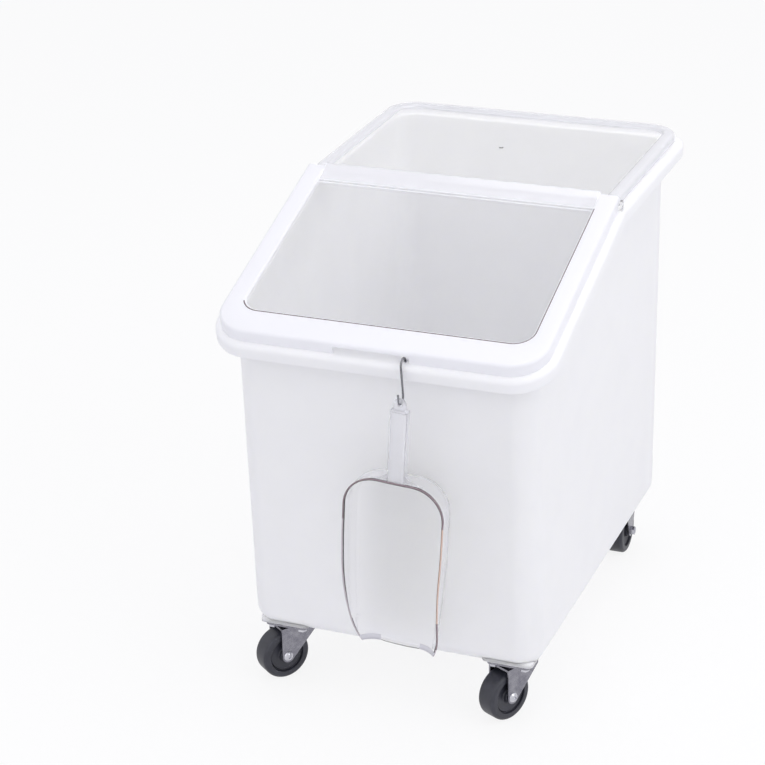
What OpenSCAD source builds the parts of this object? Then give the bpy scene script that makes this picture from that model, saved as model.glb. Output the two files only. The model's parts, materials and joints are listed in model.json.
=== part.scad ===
// Rolling flour bin: a slant-topped white tub on four casters, with a fixed clear
// rear cover, a clear front lid that tips and slides back, and a scoop on a hook.
// Millimetres. X to the right, Y to the back, Z up, floor at Z = 0.
// Shapes are drawn with Y = 0 at the ridge and moved at the end so that the
// middle of the footprint is at the origin.

/* [Bin body] */
// Width over the rim
overall_w = 500; // [470:1:530]
// Height of the ridge and of the rear top
overall_h = 711; // [660:1:760]
// Rim length from the ridge to the back
rear_len = 376; // [360:1:400]
// Rim length from the ridge down the slope to the front
slant_len = 397; // [380:1:420]
// Slope of the front half of the top, in degrees
slant_deg = 18; // [14:0.5:22]
// Wall thickness of the tub
wall_t = 4.5; // [3.5:0.1:6]
// Rim overhang at the sides
side_hang = 29; // [26:0.5:32]
// Rim overhang at the front, along the slope
front_hang = 35; // [30:0.5:40]
// Rim overhang at the back
rear_hang = 39; // [30:0.5:44]
// Distance the front wall steps in from rim to base
front_draft = 28; // [16:1:36]
// Distance the rear wall steps in from rim to base
rear_draft = 15; // [8:1:24]
// Radius of the tub's upright corners
tub_r = 36; // [26:1:46]
// Radius of the tub's bottom edges
base_r = 30; // [22:1:36]

/* [Rim] */
// Outer corner radius of the rim in plan
rim_r = 62; // [56:1:72]
// Depth of the rim's top below the lid's top
rim_drop = 19; // [18.5:0.5:20]
// Height of the rim's outer band
band_h = 23; // [18:0.5:28]
// Rounding of the band's upper edge
band_r = 9; // [7:0.5:11]

/* [Lids] */
// Thickness of the clear sheet
lid_t = 3; // [2.4:0.1:3.2]
// Inset of the front lid's skirt from the rim
lid_inset = 9.5; // [9:0.1:11]
// Depth of the lid's sunk panel
panel_drop = 2; // [1.5:0.1:3]
// Border of the lid's sunk panel at the sides, from the rim
side_border = 38; // [37:1:50]
// Border of the lid's sunk panel at the front, from the lid's edge
front_border = 48; // [42:1:60]
// Width of the finger notch in the front skirt
notch_w = 112; // [106:1:130]

/* [Hook and scoop] */
// Wire diameter of the hook
wire_d = 3; // [2.5:0.1:3.2]
// Straight length between the hook's bends
shank_len = 41; // [36:1:50]
// Width of the scoop's bowl
bowl_w = 146; // [130:1:160]
// Length of the scoop's bowl
bowl_len = 268; // [240:1:290]
// Depth of the scoop's bowl
bowl_depth = 58; // [48:1:62]
// Sideways lean of the hanging scoop, in degrees
scoop_lean = 3.5; // [0:0.5:5]

/* [Casters] */
// Wheel diameter
wheel_d = 76; // [70:1:77]
// Wheel width over the tread
wheel_w = 31; // [28:0.5:32]
// Inset of the casters from the tub's sides
side_caster_in = 49; // [44:1:70]
// Inset of the front swivel pins from the foot of the front wall
front_caster_in = 59.41; // [52:0.2:80]
// Inset of the rear axles from the foot of the rear wall
rear_caster_in = 46; // [46:1:80]
// Trail of the swivel casters
trail = 28; // [24:1:32]
// Turn of the right front caster as photographed, in degrees
swivel_right = 27; // [0:1:60]
// Turn of the left front caster as photographed, in degrees
swivel_left = 38; // [0:1:60]

/* [Hidden] */
$fn = 96;
over = 1;
run = 60;
reach = 1200;
slip = 0.02;
skin = 0.05;
play = 0.05;

// Caster heights, from the wheel up to the tub's underside
wheel_gap = 2.8;
king_head_h = 2.6;
king_gap = 0.2;
deck_t = 3.5;
ball_r = 2.7;
ball_gap = 0.3;
race_bite = 1.6;
race_t = 3.5;
plate_t = 3;
deck_z = wheel_d + wheel_gap + king_head_h + king_gap;
deck_top = deck_z + deck_t;
race_z = deck_top + 2 * ball_r + 2 * ball_gap - race_bite;
ball_z = (race_z + deck_top) / 2;
plate_z = race_z + race_t;
base_z = plate_z + plate_t;

// Tub
half_w = overall_w / 2;
tub_half = half_w - side_hang;
rim_t = wall_t;
floor_extra = 1.5;
floor_t = wall_t + floor_extra;
function slant_pt(y, z) = [
    y * cos(slant_deg) - z * sin(slant_deg),
    overall_h + y * sin(slant_deg) + z * cos(slant_deg)
];
front_top = slant_pt(-(slant_len - front_hang), -rim_drop);
rear_top = [rear_len - rear_hang, overall_h - rim_drop];
ridge_pt = [rim_drop * tan(slant_deg / 2), overall_h - rim_drop];
front_base = [front_top[0] + front_draft, base_z];
rear_base = [rear_top[0] - rear_draft, base_z];
front_lean = atan2(front_draft, front_top[1] - base_z);
rear_lean = atan2(rear_draft, rear_top[1] - base_z);
pad_h = 6.5;
pad_margin = 6;
caster_seat_h = 8;

// Hook in the rim
bend_r = 9;
hook_gap = 0.7;
hook_side_in = 7;
hook_x = notch_w / 2 - hook_side_in;
hook_c1_in = bend_r - wire_d / 2 - hook_gap;
hook_c1 = slant_pt(-(slant_len - hook_c1_in), -rim_drop);
hook_hole_play = 2.6;
hook_hole_d = wire_d + hook_hole_play;
hook_hole_shift = 0.6;
hook_hole_in = hook_c1_in + bend_r - hook_hole_shift;
hook_tail_deg = 40;
hook_tip_deg = 10;
shank_step = 0.06;
shank_y = hook_c1[0] - bend_r;
hook_c2 = [shank_y - bend_r, hook_c1[1] - shank_len];
hang_z = hook_c2[1] - bend_r;

// Lid guides at the ridge
guide_lift = 4;
guide_drop = rim_drop - guide_lift;
guide_r = 8.6;
guide_w = 10;
guide_in = lid_inset + lid_t / 2 - guide_w / 2;
guide_top = 5;
guide_gap = 0.4;
guide_run = guide_drop * tan(slant_deg / 2);
seat_gap = 0.4;
seat_t = 4.3;

// Lid
lid_round = 5;
runner_len = slant_len - rim_r - over;
lid_seat_gap = 0.35;
skirt_h = rim_drop - lid_seat_gap;
lid_front = slant_len - lid_inset;
panel_half = half_w - side_border;
panel_front = lid_front - front_border;
panel_rear = 32;
panel_r = 28;
lid_rear = 4;
brow_rise = 2;
brow_run = panel_rear + lid_rear;
brow_climb = brow_rise + panel_drop;
brow_r = (brow_run * brow_run + brow_climb * brow_climb) / (2 * brow_climb);
notch_h = 12;
notch_r = 4;

// Rear cover
cover_lid_gap = 2.4;
cover_drop = lid_t + cover_lid_gap;
cover_gap = 1.1;
cover_inset = lid_inset + lid_t + cover_gap;
bead_gap = 1.8;
bead_in = side_border - lid_t - bead_gap;
bead_round = 6;
bead_h = 4.6;
tray_drop = cover_drop + bead_h;
cover_front = 2;
cover_notch = 13;
cover_guide_gap = 2;
cover_notch_in = guide_in + guide_w + cover_guide_gap;
gate_r = 3;
gate_h = 0.8;

// Scoop, drawn hanging from its eye at the origin
eye_play = 3;
eye_d = wire_d + eye_play;
hang_gap = 0.45;
eye_drop = eye_play / 2 - hang_gap;
tab_r = 9;
tab_t = 4;
grip_top = 9;
grip_w = 25;
grip_d = 15;
grip_round = 3.75;
scoop_t = 2.8;
grip_len = 106;
bowl_top = grip_top + grip_len;
bowl_rim_y = -11;
bowl_corner_r = 46;
bowl_edge_r = 32;
bowl_end_r = 26;
lip_share = 0.76;
taper_share = 0.36;
rim_fall = 38;
rim_fall_len = 145;
gusset = 13;
fall_r = (rim_fall_len * rim_fall_len + rim_fall * rim_fall) / (2 * rim_fall);
eye_z = hang_z - eye_drop;

// Casters
plate_x = 64;
plate_y = 92;
plate_r = 6;
bolt_edge = 9;
bolt_dx = plate_x - 2 * bolt_edge;
bolt_dy = plate_y - 2 * bolt_edge;
bolt_r = 4;
bolt_head_r = 7.2;
bolt_head_h = 5;
insert_t = 2.5;
insert_r = bolt_r + insert_t;
insert_h = 10;
bolt_short = 1.5;
bolt_len = plate_t + insert_h - bolt_short;
axle_z = wheel_d / 2;
axle_r = 4;
caster_x = tub_half - side_caster_in;
front_caster_y = front_base[0] + front_caster_in;
rear_caster_y = rear_base[0] - rear_caster_in;
ball_count = 14;
race_r = 20;
race_lip = 6;
race_out = race_r + race_lip;
guard_gap = 1.4;
guard_t = 1.6;
guard_h = 5;
deck_r = race_out + guard_gap + guard_t;
leg_t = 2.6;
leg_room = 4;
leg_gap = wheel_w + leg_room;
leg_out = leg_gap / 2 + leg_t;
boss_r = 10;
leg_rear = 22;
leg_drop = 9;
king_r = 5;
king_head_r = 9;
hub_out = 2;
hub_w = wheel_w + hub_out;
hub_r = 11;
bush_t = 2.5;
bush_r = axle_r + bush_t;
bush_play = 0.6;
bush_len = leg_gap - bush_play;
tread_round = 6;
tread_t = 11;
web_r = wheel_d / 2 - tread_t;
web_dish = 5;
ring_in = 3;
ring_r = web_r - ring_in;
ring_t = 1.6;
dome_r = 8;
dome_h = 4.4;
dome_socket_r = 2.6;
dome_socket_h = 2.4;
nut_r = 7.5;
nut_h = 6.4;
nut_sides = 6;
rigid_leg_half = 27;

// The footprint runs from the scoop's rim to the back of the bin, and its middle
// goes to the origin
scoop_front = hook_c2[0] + bowl_rim_y;
origin_y = (rear_len + scoop_front) / 2;

// Frames

module place() {
    translate([0, -origin_y, 0]) children();
}

module at_ridge() {
    translate([0, 0, overall_h]) children();
}

module on_slant() {
    at_ridge() rotate([slant_deg, 0, 0]) children();
}

// The space in front of (or behind) the plane that halves the bend at the ridge
module front_side() {
    at_ridge() rotate([slant_deg / 2, 0, 0])
        translate([-reach, -reach, -reach]) cube([2 * reach, reach, 2 * reach]);
}

module rear_side() {
    at_ridge() rotate([slant_deg / 2, 0, 0])
        translate([-reach, 0, -reach]) cube([2 * reach, reach, 2 * reach]);
}

// Carries a rim section, drawn as (distance from the corner's centre, height),
// round three sides of a top whose far side is len from the ridge
module sweep_u(len) {
    cx = half_w - rim_r;
    cy = len - rim_r;
    for (side = [0, 1]) mirror([side, 0, 0]) {
        translate([cx, run, 0]) rotate([90, 0, 0]) linear_extrude(cy + run) children();
        translate([cx, -cy, 0]) rotate([0, 0, -90]) rotate_extrude(angle = 90) children();
    }
    translate([cx, -cy, 0]) rotate([90, 0, -90]) linear_extrude(2 * cx) children();
}

// The plan inside that sweep, inset from the rim's outer edge
module plan_u(len, inset, open = run) {
    cx = half_w - rim_r;
    cy = len - rim_r;
    translate([-(half_w - inset), -cy]) square([2 * (half_w - inset), cy + open]);
    translate([-cx, -(len - inset)]) square([2 * cx, rim_r]);
    for (side = [-1, 1]) translate([side * cx, -cy]) circle(rim_r - inset);
}

// A rectangle from corner a to corner b whose listed top corners are round
module round_top(a, b, r_left, r_right) {
    difference() {
        translate(a) square(b - a);
        if (r_left > 0) translate([a[0] - over, b[1] - r_left]) square([r_left + over, r_left + over]);
        if (r_right > 0) translate([b[0] - r_right, b[1] - r_right])
            square([r_right + over, r_right + over]);
    }
    if (r_left > 0) translate([a[0] + r_left, b[1] - r_left]) circle(r_left);
    if (r_right > 0) translate([b[0] - r_right, b[1] - r_right]) circle(r_right);
}

// Tub

// Side view of the tub, drawn past the rim, inset by a wall and raised by a floor
module tub_side(inset, lift) {
    r = base_r - inset;
    z0 = base_z + lift - skin;
    zt = overall_h + run + skin;
    fy = front_base[0] + inset / cos(front_lean) - lift * tan(front_lean) - skin;
    ry = rear_base[0] - inset / cos(rear_lean) + lift * tan(rear_lean) + skin;
    ft = r * tan(45 - front_lean / 2);
    rt = r * tan(45 - rear_lean / 2);
    polygon([
        [fy + ft, z0],
        [ry - rt, z0],
        [ry + rt * sin(rear_lean), z0 + rt * cos(rear_lean)],
        [ry + (zt - z0) * tan(rear_lean), zt],
        [fy - (zt - z0) * tan(front_lean), zt],
        [fy - ft * sin(front_lean), z0 + ft * cos(front_lean)]
    ]);
    translate([fy + ft, z0 + r]) circle(r);
    translate([ry - rt, z0 + r]) circle(r);
}

// Front view of the tub, with the bottom edges round
module tub_front(inset, lift) {
    mirror([0, 1]) round_top(
        [-(tub_half - inset), -(overall_h + run)],
        [tub_half - inset, -(base_z + lift)],
        base_r - inset, base_r - inset
    );
}

// Plan of one end of the tub, its wall along y = 0 and its body behind
module tub_end(inset) {
    r = tub_r - inset;
    half = tub_half - inset + skin;
    translate([-half, r]) square([2 * half, reach]);
    translate([r - half, 0]) square([2 * (half - r), reach]);
    for (side = [-1, 1]) translate([side * (half - r), r]) circle(r);
}

module tub_solid(inset, lift) {
    intersection() {
        translate([-half_w, 0, 0]) rotate([90, 0, 90])
            linear_extrude(overall_w) tub_side(inset, lift);
        translate([0, reach, 0]) rotate([90, 0, 0])
            linear_extrude(2 * reach) tub_front(inset, lift);
        translate([0, front_base[0], base_z]) rotate([front_lean, 0, 0])
            translate([0, inset, -run]) linear_extrude(reach) tub_end(inset);
        translate([0, rear_base[0], base_z]) rotate([-rear_lean, 0, 0])
            translate([0, -inset, -run]) linear_extrude(reach) mirror([0, 1]) tub_end(inset);
    }
}

// Everything under the rim's top faces
module below_rim() {
    far = slant_pt(-reach, -rim_drop);
    translate([-reach, 0, 0]) rotate([90, 0, 90]) linear_extrude(2 * reach) polygon([
        far, ridge_pt, [reach, ridge_pt[1]], [reach, -reach], [far[0], -reach]
    ]);
}

// Section of the rim: a top plate and a round-edged band, open underneath
module rim_section() {
    inner = rim_r - max(front_hang, rear_hang) - wall_t;
    difference() {
        round_top([inner, -rim_drop - band_h], [rim_r, -rim_drop], 0, band_r);
        round_top(
            [inner - over, -rim_drop - band_h - over], [rim_r - rim_t, -rim_drop - rim_t],
            0, band_r - rim_t
        );
    }
}

// A round bar along the lid guide's rocking axis, on the right
module guide_bar(r, w) {
    on_slant() translate([half_w - guide_in - guide_w / 2, -guide_run, -guide_drop])
        rotate([0, 90, 0]) cylinder(r = r, h = w, center = true);
}

module caster_spots() {
    for (x = [-caster_x, caster_x]) {
        translate([x, front_caster_y, 0]) children();
        translate([x, rear_caster_y, 0]) children();
    }
}

module bolt_spots() {
    for (x = [-bolt_dx / 2, bolt_dx / 2], y = [-bolt_dy / 2, bolt_dy / 2])
        translate([x, y, 0]) children();
}

module bin_body() color("white") place() difference() {
    union() {
        intersection() {
            tub_solid(0, 0);
            below_rim();
        }
        intersection() {
            on_slant() sweep_u(slant_len) rim_section();
            front_side();
        }
        intersection() {
            at_ridge() mirror([0, 1, 0]) sweep_u(rear_len) rim_section();
            rear_side();
        }
        intersection() {
            for (side = [0, 1]) mirror([side, 0, 0])
                guide_bar(guide_r + seat_gap + seat_t, guide_w + 2 * seat_t);
            below_rim();
        }
        caster_spots() translate([0, 0, base_z]) linear_extrude(caster_seat_h) plate_outline();
    }
    difference() {
        tub_solid(wall_t, floor_t);
        caster_spots() translate([0, 0, base_z + floor_t + pad_h / 2 - over])
            cube([plate_x + 2 * pad_margin, plate_y + 2 * pad_margin, pad_h + 2 * over], center = true);
    }
    for (side = [0, 1]) mirror([side, 0, 0])
        guide_bar(guide_r + seat_gap, guide_w + 2 * seat_gap);
    on_slant() translate([hook_x, -(slant_len - hook_hole_in), -rim_drop - rim_t - over])
        cylinder(d = hook_hole_d, h = rim_t + 2 * over);
    caster_spots() bolt_spots() translate([0, 0, base_z - over])
        cylinder(r = insert_r + slip, h = insert_h + over);
}

// Rear cover

// Section of the cover's edge: a skirt outside, a raised bead, and a short wall inside
module cover_section() {
    out = rim_r - cover_inset;
    inn = rim_r - bead_in;
    tray = -tray_drop - lid_t;
    difference() {
        round_top([inn, -rim_drop + slip], [out, -cover_drop], bead_round, bead_round);
        round_top(
            [inn + lid_t, -rim_drop - over], [out - lid_t, -cover_drop - lid_t],
            bead_round - lid_t, bead_round - lid_t
        );
        translate([inn - over, -rim_drop - over]) square([lid_t + 2 * over, tray + rim_drop + over]);
    }
}

module rear_cover() color([0.86, 0.88, 0.9, 0.45]) place() difference() {
    intersection() {
        at_ridge() mirror([0, 1, 0]) {
            sweep_u(rear_len) cover_section();
            translate([0, 0, -tray_drop - lid_t]) linear_extrude(lid_t)
                plan_u(rear_len, bead_in - lid_t / 2);
        }
        translate([-half_w, cover_front, 0]) cube([overall_w, reach, reach]);
    }
    translate([0, rear_len / 2, overall_h - tray_drop - gate_h]) cylinder(r = gate_r, h = lid_t);
    for (side = [0, 1]) mirror([side, 0, 0])
        translate([half_w - cover_notch_in, 0, 0]) cube([cover_notch_in, cover_notch, reach]);
}

// Front lid, drawn flat with its ridge along y = 0

module lid_section() {
    out = rim_r - lid_inset;
    inner = out - 2 * lid_round;
    difference() {
        round_top([inner, -skirt_h], [out, 0], 0, lid_round);
        round_top([inner - over, -skirt_h - over], [out - lid_t, -lid_t], 0, lid_round - lid_t);
    }
}

// Outline of the sunk panel, with its front corners round
module panel_plan(grow) {
    r = panel_r + grow;
    half = panel_half + grow;
    front = panel_front + grow;
    translate([-half, r - front]) square([2 * half, front - r - panel_rear]);
    translate([r - half, -front]) square([2 * (half - r), 2 * r]);
    for (side = [-1, 1]) translate([side * (half - r), r - front]) circle(r);
}

// Sections of the brow that climbs from the panel to the ridge, and of its ends
module brow_section(r_in, top) {
    difference() {
        intersection() {
            translate([-panel_rear, brow_r - panel_drop]) circle(brow_r + lid_t);
            translate([-panel_rear, -panel_drop - lid_t])
                square([brow_run, panel_drop + lid_t + top]);
        }
        if (r_in > 0) translate([-panel_rear, brow_r - panel_drop]) circle(r_in);
    }
}

module across(half) {
    translate([-half, 0, 0]) rotate([90, 0, 90]) linear_extrude(2 * half) children();
}

module lid_flat() {
    difference() {
        union() {
            intersection() {
                sweep_u(slant_len) lid_section();
                translate([-half_w, -reach, -reach]) cube([overall_w, reach, 2 * reach]);
            }
            translate([0, 0, -lid_t]) linear_extrude(lid_t)
                plan_u(slant_len, lid_inset + lid_round, 0);
            translate([0, 0, -panel_drop - lid_t]) linear_extrude(panel_drop + lid_t)
                panel_plan(lid_t);
            across(panel_half + lid_t) brow_section(0, 0);
        }
        translate([0, 0, -panel_drop]) linear_extrude(panel_drop + over) panel_plan(0);
        translate([-panel_half, -panel_rear, -panel_drop - lid_t - over])
            cube([2 * panel_half, panel_rear + run, rim_drop]);
        lid_notch();
        for (side = [0, 1]) mirror([side, 0, 0])
            translate([half_w - lid_inset - lid_t - over, -runner_len, -skirt_h - over])
                cube([lid_t + 2 * over, runner_len + run, skirt_h - lid_round + over]);
    }
    across(panel_half + lid_t) brow_section(brow_r, lid_rear);
}

// The straight side skirt, a strip under the lid's border that runs in the guide
module lid_runner() {
    on_slant() translate([half_w - lid_inset - lid_t, slip - runner_len, -skirt_h])
        cube([lid_t, runner_len - slip, skirt_h - lid_round - slip]);
}

// Finger notch in the front skirt, with round upper corners
module lid_notch() {
    translate([0, -lid_front + lid_round, 0]) rotate([90, 0, 0]) linear_extrude(2 * lid_round)
        round_top([-notch_w / 2, -skirt_h - over], [notch_w / 2, -skirt_h + notch_h], notch_r, notch_r);
}

module front_lid() color([0.86, 0.88, 0.9, 0.45]) place() on_slant() lid_flat();

module lid_runner_right() color([0.86, 0.88, 0.9, 0.45]) place() lid_runner();

module lid_runner_left() color([0.86, 0.88, 0.9, 0.45]) place() mirror([1, 0, 0]) lid_runner();

// Lid guides

module lid_guide() {
    difference() {
        guide_bar(guide_r, guide_w);
        on_slant() translate([0, -reach, -guide_drop + guide_top]) cube([reach, 2 * reach, reach]);
        on_slant() translate([half_w - lid_inset - lid_t - guide_gap, -reach, -skirt_h - guide_gap])
            cube([lid_t + 2 * guide_gap, 2 * reach, reach]);
    }
}

module lid_guide_right() color([0.86, 0.88, 0.9, 0.45]) place() lid_guide();

module lid_guide_left() color([0.86, 0.88, 0.9, 0.45]) place() mirror([1, 0, 0]) lid_guide();

// Hook, drawn in the upright plane of its wire

module wire_bend(from, sweep) {
    rotate([0, 0, from]) rotate_extrude(angle = sweep) translate([bend_r, 0]) circle(d = wire_d);
}

module s_hook() color("silver") place() translate([hook_x, 0, 0]) {
    translate([0, hook_c1[0], hook_c1[1]]) rotate([90, 0, 90])
        wire_bend(-hook_tail_deg, 180 + hook_tail_deg);
    translate([0, shank_y, hook_c2[1] - over / 2])
        cylinder(d = wire_d - 2 * shank_step, h = shank_len + over);
    translate([0, hook_c2[0], hook_c2[1]]) rotate([90, 0, 90])
        wire_bend(-180 - hook_tip_deg, 180 + hook_tip_deg);
}

// Scoop, drawn hanging from its eye at the origin

// Outline of the bowl seen from the front
module bowl_plan(inset, tail) {
    half = bowl_w / 2 - inset;
    lip = bowl_w / 2 * lip_share - inset;
    r = bowl_corner_r - inset;
    top = -bowl_top - inset;
    end = -bowl_top - bowl_len;
    bend = -bowl_top - bowl_len * taper_share;
    polygon([
        [-half, top - r], [-half, bend], [-lip, end], [-lip, end - tail],
        [lip, end - tail], [lip, end], [half, bend], [half, top - r]
    ]);
    translate([r - half, top - 2 * r]) square([2 * (half - r), 2 * r]);
    for (side = [-1, 1]) translate([side * (half - r), top - r]) circle(r);
}

module bowl_solid(inset, tail) {
    back = bowl_rim_y + bowl_depth - inset;
    half = bowl_w / 2 - inset;
    low = -bowl_top - bowl_len - tail;
    intersection() {
        translate([0, back + over, 0]) rotate([90, 0, 0])
            linear_extrude(bowl_depth + tail + over - inset) bowl_plan(inset, tail);
        translate([0, 0, low]) linear_extrude(bowl_len + tail)
            round_top([-half, bowl_rim_y - tail], [half, back], bowl_edge_r - inset, bowl_edge_r - inset);
        across(bowl_w) round_top(
            [bowl_rim_y - tail, low], [back, -bowl_top - inset], 0, bowl_end_r - inset
        );
    }
}

// What the bowl's rim loses where it falls away to the lip
module bowl_fall() {
    start = -bowl_top - bowl_len + rim_fall_len;
    across(bowl_w) difference() {
        translate([bowl_rim_y - over, start - rim_fall_len - over])
            square([rim_fall + 2 * over, rim_fall_len + over]);
        translate([bowl_rim_y + fall_r, start]) circle(fall_r);
    }
}

module scoop_grip() {
    corner = [grip_w / 2, grip_d / 2];
    translate([0, 0, -bowl_top - over]) linear_extrude(grip_len + over)
        mirror([0, 1]) round_top(-corner, corner, grip_round, grip_round);
}

module scoop_flat() {
    difference() {
        union() {
            bowl_solid(0, 0);
            scoop_grip();
            translate([0, tab_t / 2, 0]) rotate([90, 0, 0]) linear_extrude(tab_t) {
                circle(tab_r);
                translate([-tab_r, -grip_top - over]) square([2 * tab_r, grip_top + over]);
            }
            for (side = [0, 1]) mirror([side, 0, 0]) translate([0, scoop_t / 2, 0]) rotate([90, 0, 0])
                linear_extrude(scoop_t) polygon([
                    [grip_w / 2 - over, -bowl_top - over], [grip_w / 2 + gusset, -bowl_top - over],
                    [grip_w / 2 + gusset, -bowl_top], [grip_w / 2, -bowl_top + gusset],
                    [grip_w / 2 - over, -bowl_top + gusset]
                ]);
        }
        bowl_solid(scoop_t, over);
        bowl_fall();
        translate([-grip_w / 2 + scoop_t, -grip_d / 2 + scoop_t, -bowl_top + over])
            cube([grip_w - 2 * scoop_t, grip_d, grip_len - scoop_t - over]);
        rotate([90, 0, 0]) cylinder(d = eye_d, h = grip_d, center = true);
    }
}

module scoop() color([0.88, 0.9, 0.92, 0.4]) place()
    translate([hook_x, hook_c2[0], eye_z]) rotate([0, scoop_lean, 0]) scoop_flat();

// Casters

module swivel_spot(side, turn) {
    translate([side * caster_x, front_caster_y, 0]) rotate([0, 0, -turn]) children();
}

module rigid_spot(side) {
    translate([side * caster_x, rear_caster_y, 0]) mirror([side > 0 ? 1 : 0, 0, 0]) children();
}

module axle_spot(y) {
    translate([0, y, axle_z]) children();
}

module plate_outline() {
    square([plate_x - 2 * plate_r, plate_y], center = true);
    square([plate_x, plate_y - 2 * plate_r], center = true);
    for (x = [-1, 1], y = [-1, 1])
        translate([x * (plate_x / 2 - plate_r), y * (plate_y / 2 - plate_r)]) circle(plate_r);
}

module plate_plan() {
    difference() {
        plate_outline();
        bolt_spots() circle(bolt_r + play);
    }
}

module race_groove(z) {
    translate([0, 0, z]) rotate_extrude() translate([race_r, 0]) circle(ball_r + ball_gap);
}

module swivel_plate() {
    difference() {
        union() {
            translate([0, 0, plate_z]) linear_extrude(plate_t) plate_plan();
            translate([0, 0, race_z]) cylinder(r = race_out, h = race_t + over);
        }
        race_groove(ball_z);
        translate([0, 0, race_z - over]) cylinder(r = king_r + slip, h = race_t + plate_t + 2 * over);
    }
}

module king_pin() {
    translate([0, 0, deck_z - king_head_h - king_gap]) cylinder(r = king_head_r, h = king_head_h);
    translate([0, 0, deck_z - king_gap - over]) cylinder(r = king_r, h = base_z - deck_z + king_gap);
}

module ball_ring() {
    for (i = [0 : ball_count - 1]) rotate([0, 0, i * 360 / ball_count])
        translate([race_r, 0, ball_z]) sphere(ball_r);
}

// Where the line from p touches a circle of radius r about c, on its right-hand side
function touch(p, c, r) =
    let (d = p - c, beta = atan2(d[1], d[0]) - acos(r / norm(d)))
    c + r * [cos(beta), sin(beta)];

// A fork leg seen from the side, from its top edge down to the boss round the axle
module leg_plan(front, rear, top, axle_y) {
    c = [axle_y, axle_z];
    shoulder = [rear, top - leg_drop];
    polygon([
        [front, top], [front, axle_z], c, touch(shoulder, c, boss_r), shoulder, [rear, top]
    ]);
    translate(c) circle(boss_r);
}

module leg_pair() {
    for (x = [-leg_out, leg_gap / 2])
        translate([x, 0, 0]) rotate([90, 0, 90]) linear_extrude(leg_t) children();
}

module axle_bore(y, r) {
    axle_spot(y) rotate([0, 90, 0]) cylinder(r = r, h = 4 * leg_out, center = true);
}

module swivel_fork() {
    front = -trail - boss_r;
    difference() {
        union() {
            leg_pair() leg_plan(front, leg_rear, deck_top, -trail);
            translate([-leg_out, front, deck_z]) cube([2 * leg_out, leg_rear - front, deck_t]);
            translate([0, 0, deck_z]) cylinder(r = deck_r, h = deck_t + guard_h);
        }
        translate([0, 0, deck_top]) cylinder(r = deck_r - guard_t, h = guard_h + over);
        race_groove(ball_z);
        translate([0, 0, deck_z - over]) cylinder(r = king_r + play, h = deck_t + 2 * over);
        axle_bore(-trail, axle_r + slip);
    }
}

module rigid_fork() {
    difference() {
        union() {
            translate([0, 0, plate_z]) linear_extrude(plate_t) plate_plan();
            leg_pair() for (side = [0, 1]) mirror([side, 0])
                leg_plan(0, rigid_leg_half, plate_z + over, 0);
        }
        axle_bore(0, axle_r + slip);
    }
}

module wheel_section() {
    difference() {
        mirror([1, -1]) {
            round_top([-wheel_w / 2, bush_r + slip], [wheel_w / 2, wheel_d / 2], tread_round, tread_round);
            translate([-hub_w / 2, bush_r + slip]) square([hub_w, hub_r - bush_r]);
        }
        for (side = [-1, 1]) {
            translate([hub_r, side * wheel_w / 2 - web_dish]) square([web_r - hub_r, 2 * web_dish]);
        }
    }
    for (side = [-1, 1]) translate([ring_r, side * (wheel_w / 2 - web_dish)])
        circle(ring_t);
}

module caster_wheel(y) {
    axle_spot(y) rotate([0, 90, 0]) rotate_extrude() wheel_section();
}

module wheel_bush(y) {
    axle_spot(y) rotate([0, 90, 0]) difference() {
        cylinder(r = bush_r, h = bush_len, center = true);
        cylinder(r = axle_r + play, h = bush_len + over, center = true);
    }
}

// Axle bolt with a domed, socketed head on its right
module axle_bolt(y) {
    cap_r = (dome_r * dome_r + dome_h * dome_h) / (2 * dome_h);
    axle_spot(y) rotate([0, 90, 0]) difference() {
        union() {
            translate([0, 0, -leg_out - nut_h - over])
                cylinder(r = axle_r, h = 2 * leg_out + nut_h + 2 * over);
            translate([0, 0, leg_out]) rotate_extrude() intersection() {
                translate([0, dome_h - cap_r]) circle(cap_r);
                square([dome_r, dome_h]);
            }
        }
        translate([0, 0, leg_out + dome_h - dome_socket_h])
            cylinder(r = dome_socket_r, h = dome_h, $fn = nut_sides);
    }
}

module axle_nut(y) {
    axle_spot(y) rotate([0, 90, 0]) translate([0, 0, -leg_out - nut_h]) difference() {
        cylinder(r = nut_r, h = nut_h, $fn = nut_sides);
        translate([0, 0, -over]) cylinder(r = axle_r + slip, h = nut_h + 2 * over);
    }
}

module caster_inserts() color("goldenrod") place() caster_spots() bolt_spots()
    translate([0, 0, base_z]) difference() {
        cylinder(r = insert_r, h = insert_h);
        translate([0, 0, -over]) cylinder(r = bolt_r + slip, h = insert_h + 2 * over);
    }

module caster_bolts() color("silver") place() caster_spots() bolt_spots() {
    translate([0, 0, plate_z - bolt_head_h]) cylinder(r = bolt_head_r, h = bolt_head_h, $fn = nut_sides);
    translate([0, 0, plate_z - over]) cylinder(r = bolt_r, h = bolt_len + over);
}

module plate_fl() color("silver") place() swivel_spot(-1, 0) swivel_plate();

module plate_fr() color("silver") place() swivel_spot(1, 0) swivel_plate();

module king_pin_fl() color("gray") place() swivel_spot(-1, 0) king_pin();

module king_pin_fr() color("gray") place() swivel_spot(1, 0) king_pin();

module balls_fl() color("lightgray") place() swivel_spot(-1, swivel_left) ball_ring();

module balls_fr() color("lightgray") place() swivel_spot(1, swivel_right) ball_ring();

module fork_fl() color("silver") place() swivel_spot(-1, swivel_left) swivel_fork();

module fork_fr() color("silver") place() swivel_spot(1, swivel_right) swivel_fork();

module wheel_fl() color([0.24, 0.25, 0.28]) place() swivel_spot(-1, swivel_left) caster_wheel(-trail);

module wheel_fr() color([0.24, 0.25, 0.28]) place() swivel_spot(1, swivel_right) caster_wheel(-trail);

module bush_fl() color("gray") place() swivel_spot(-1, swivel_left) wheel_bush(-trail);

module bush_fr() color("gray") place() swivel_spot(1, swivel_right) wheel_bush(-trail);

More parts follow.
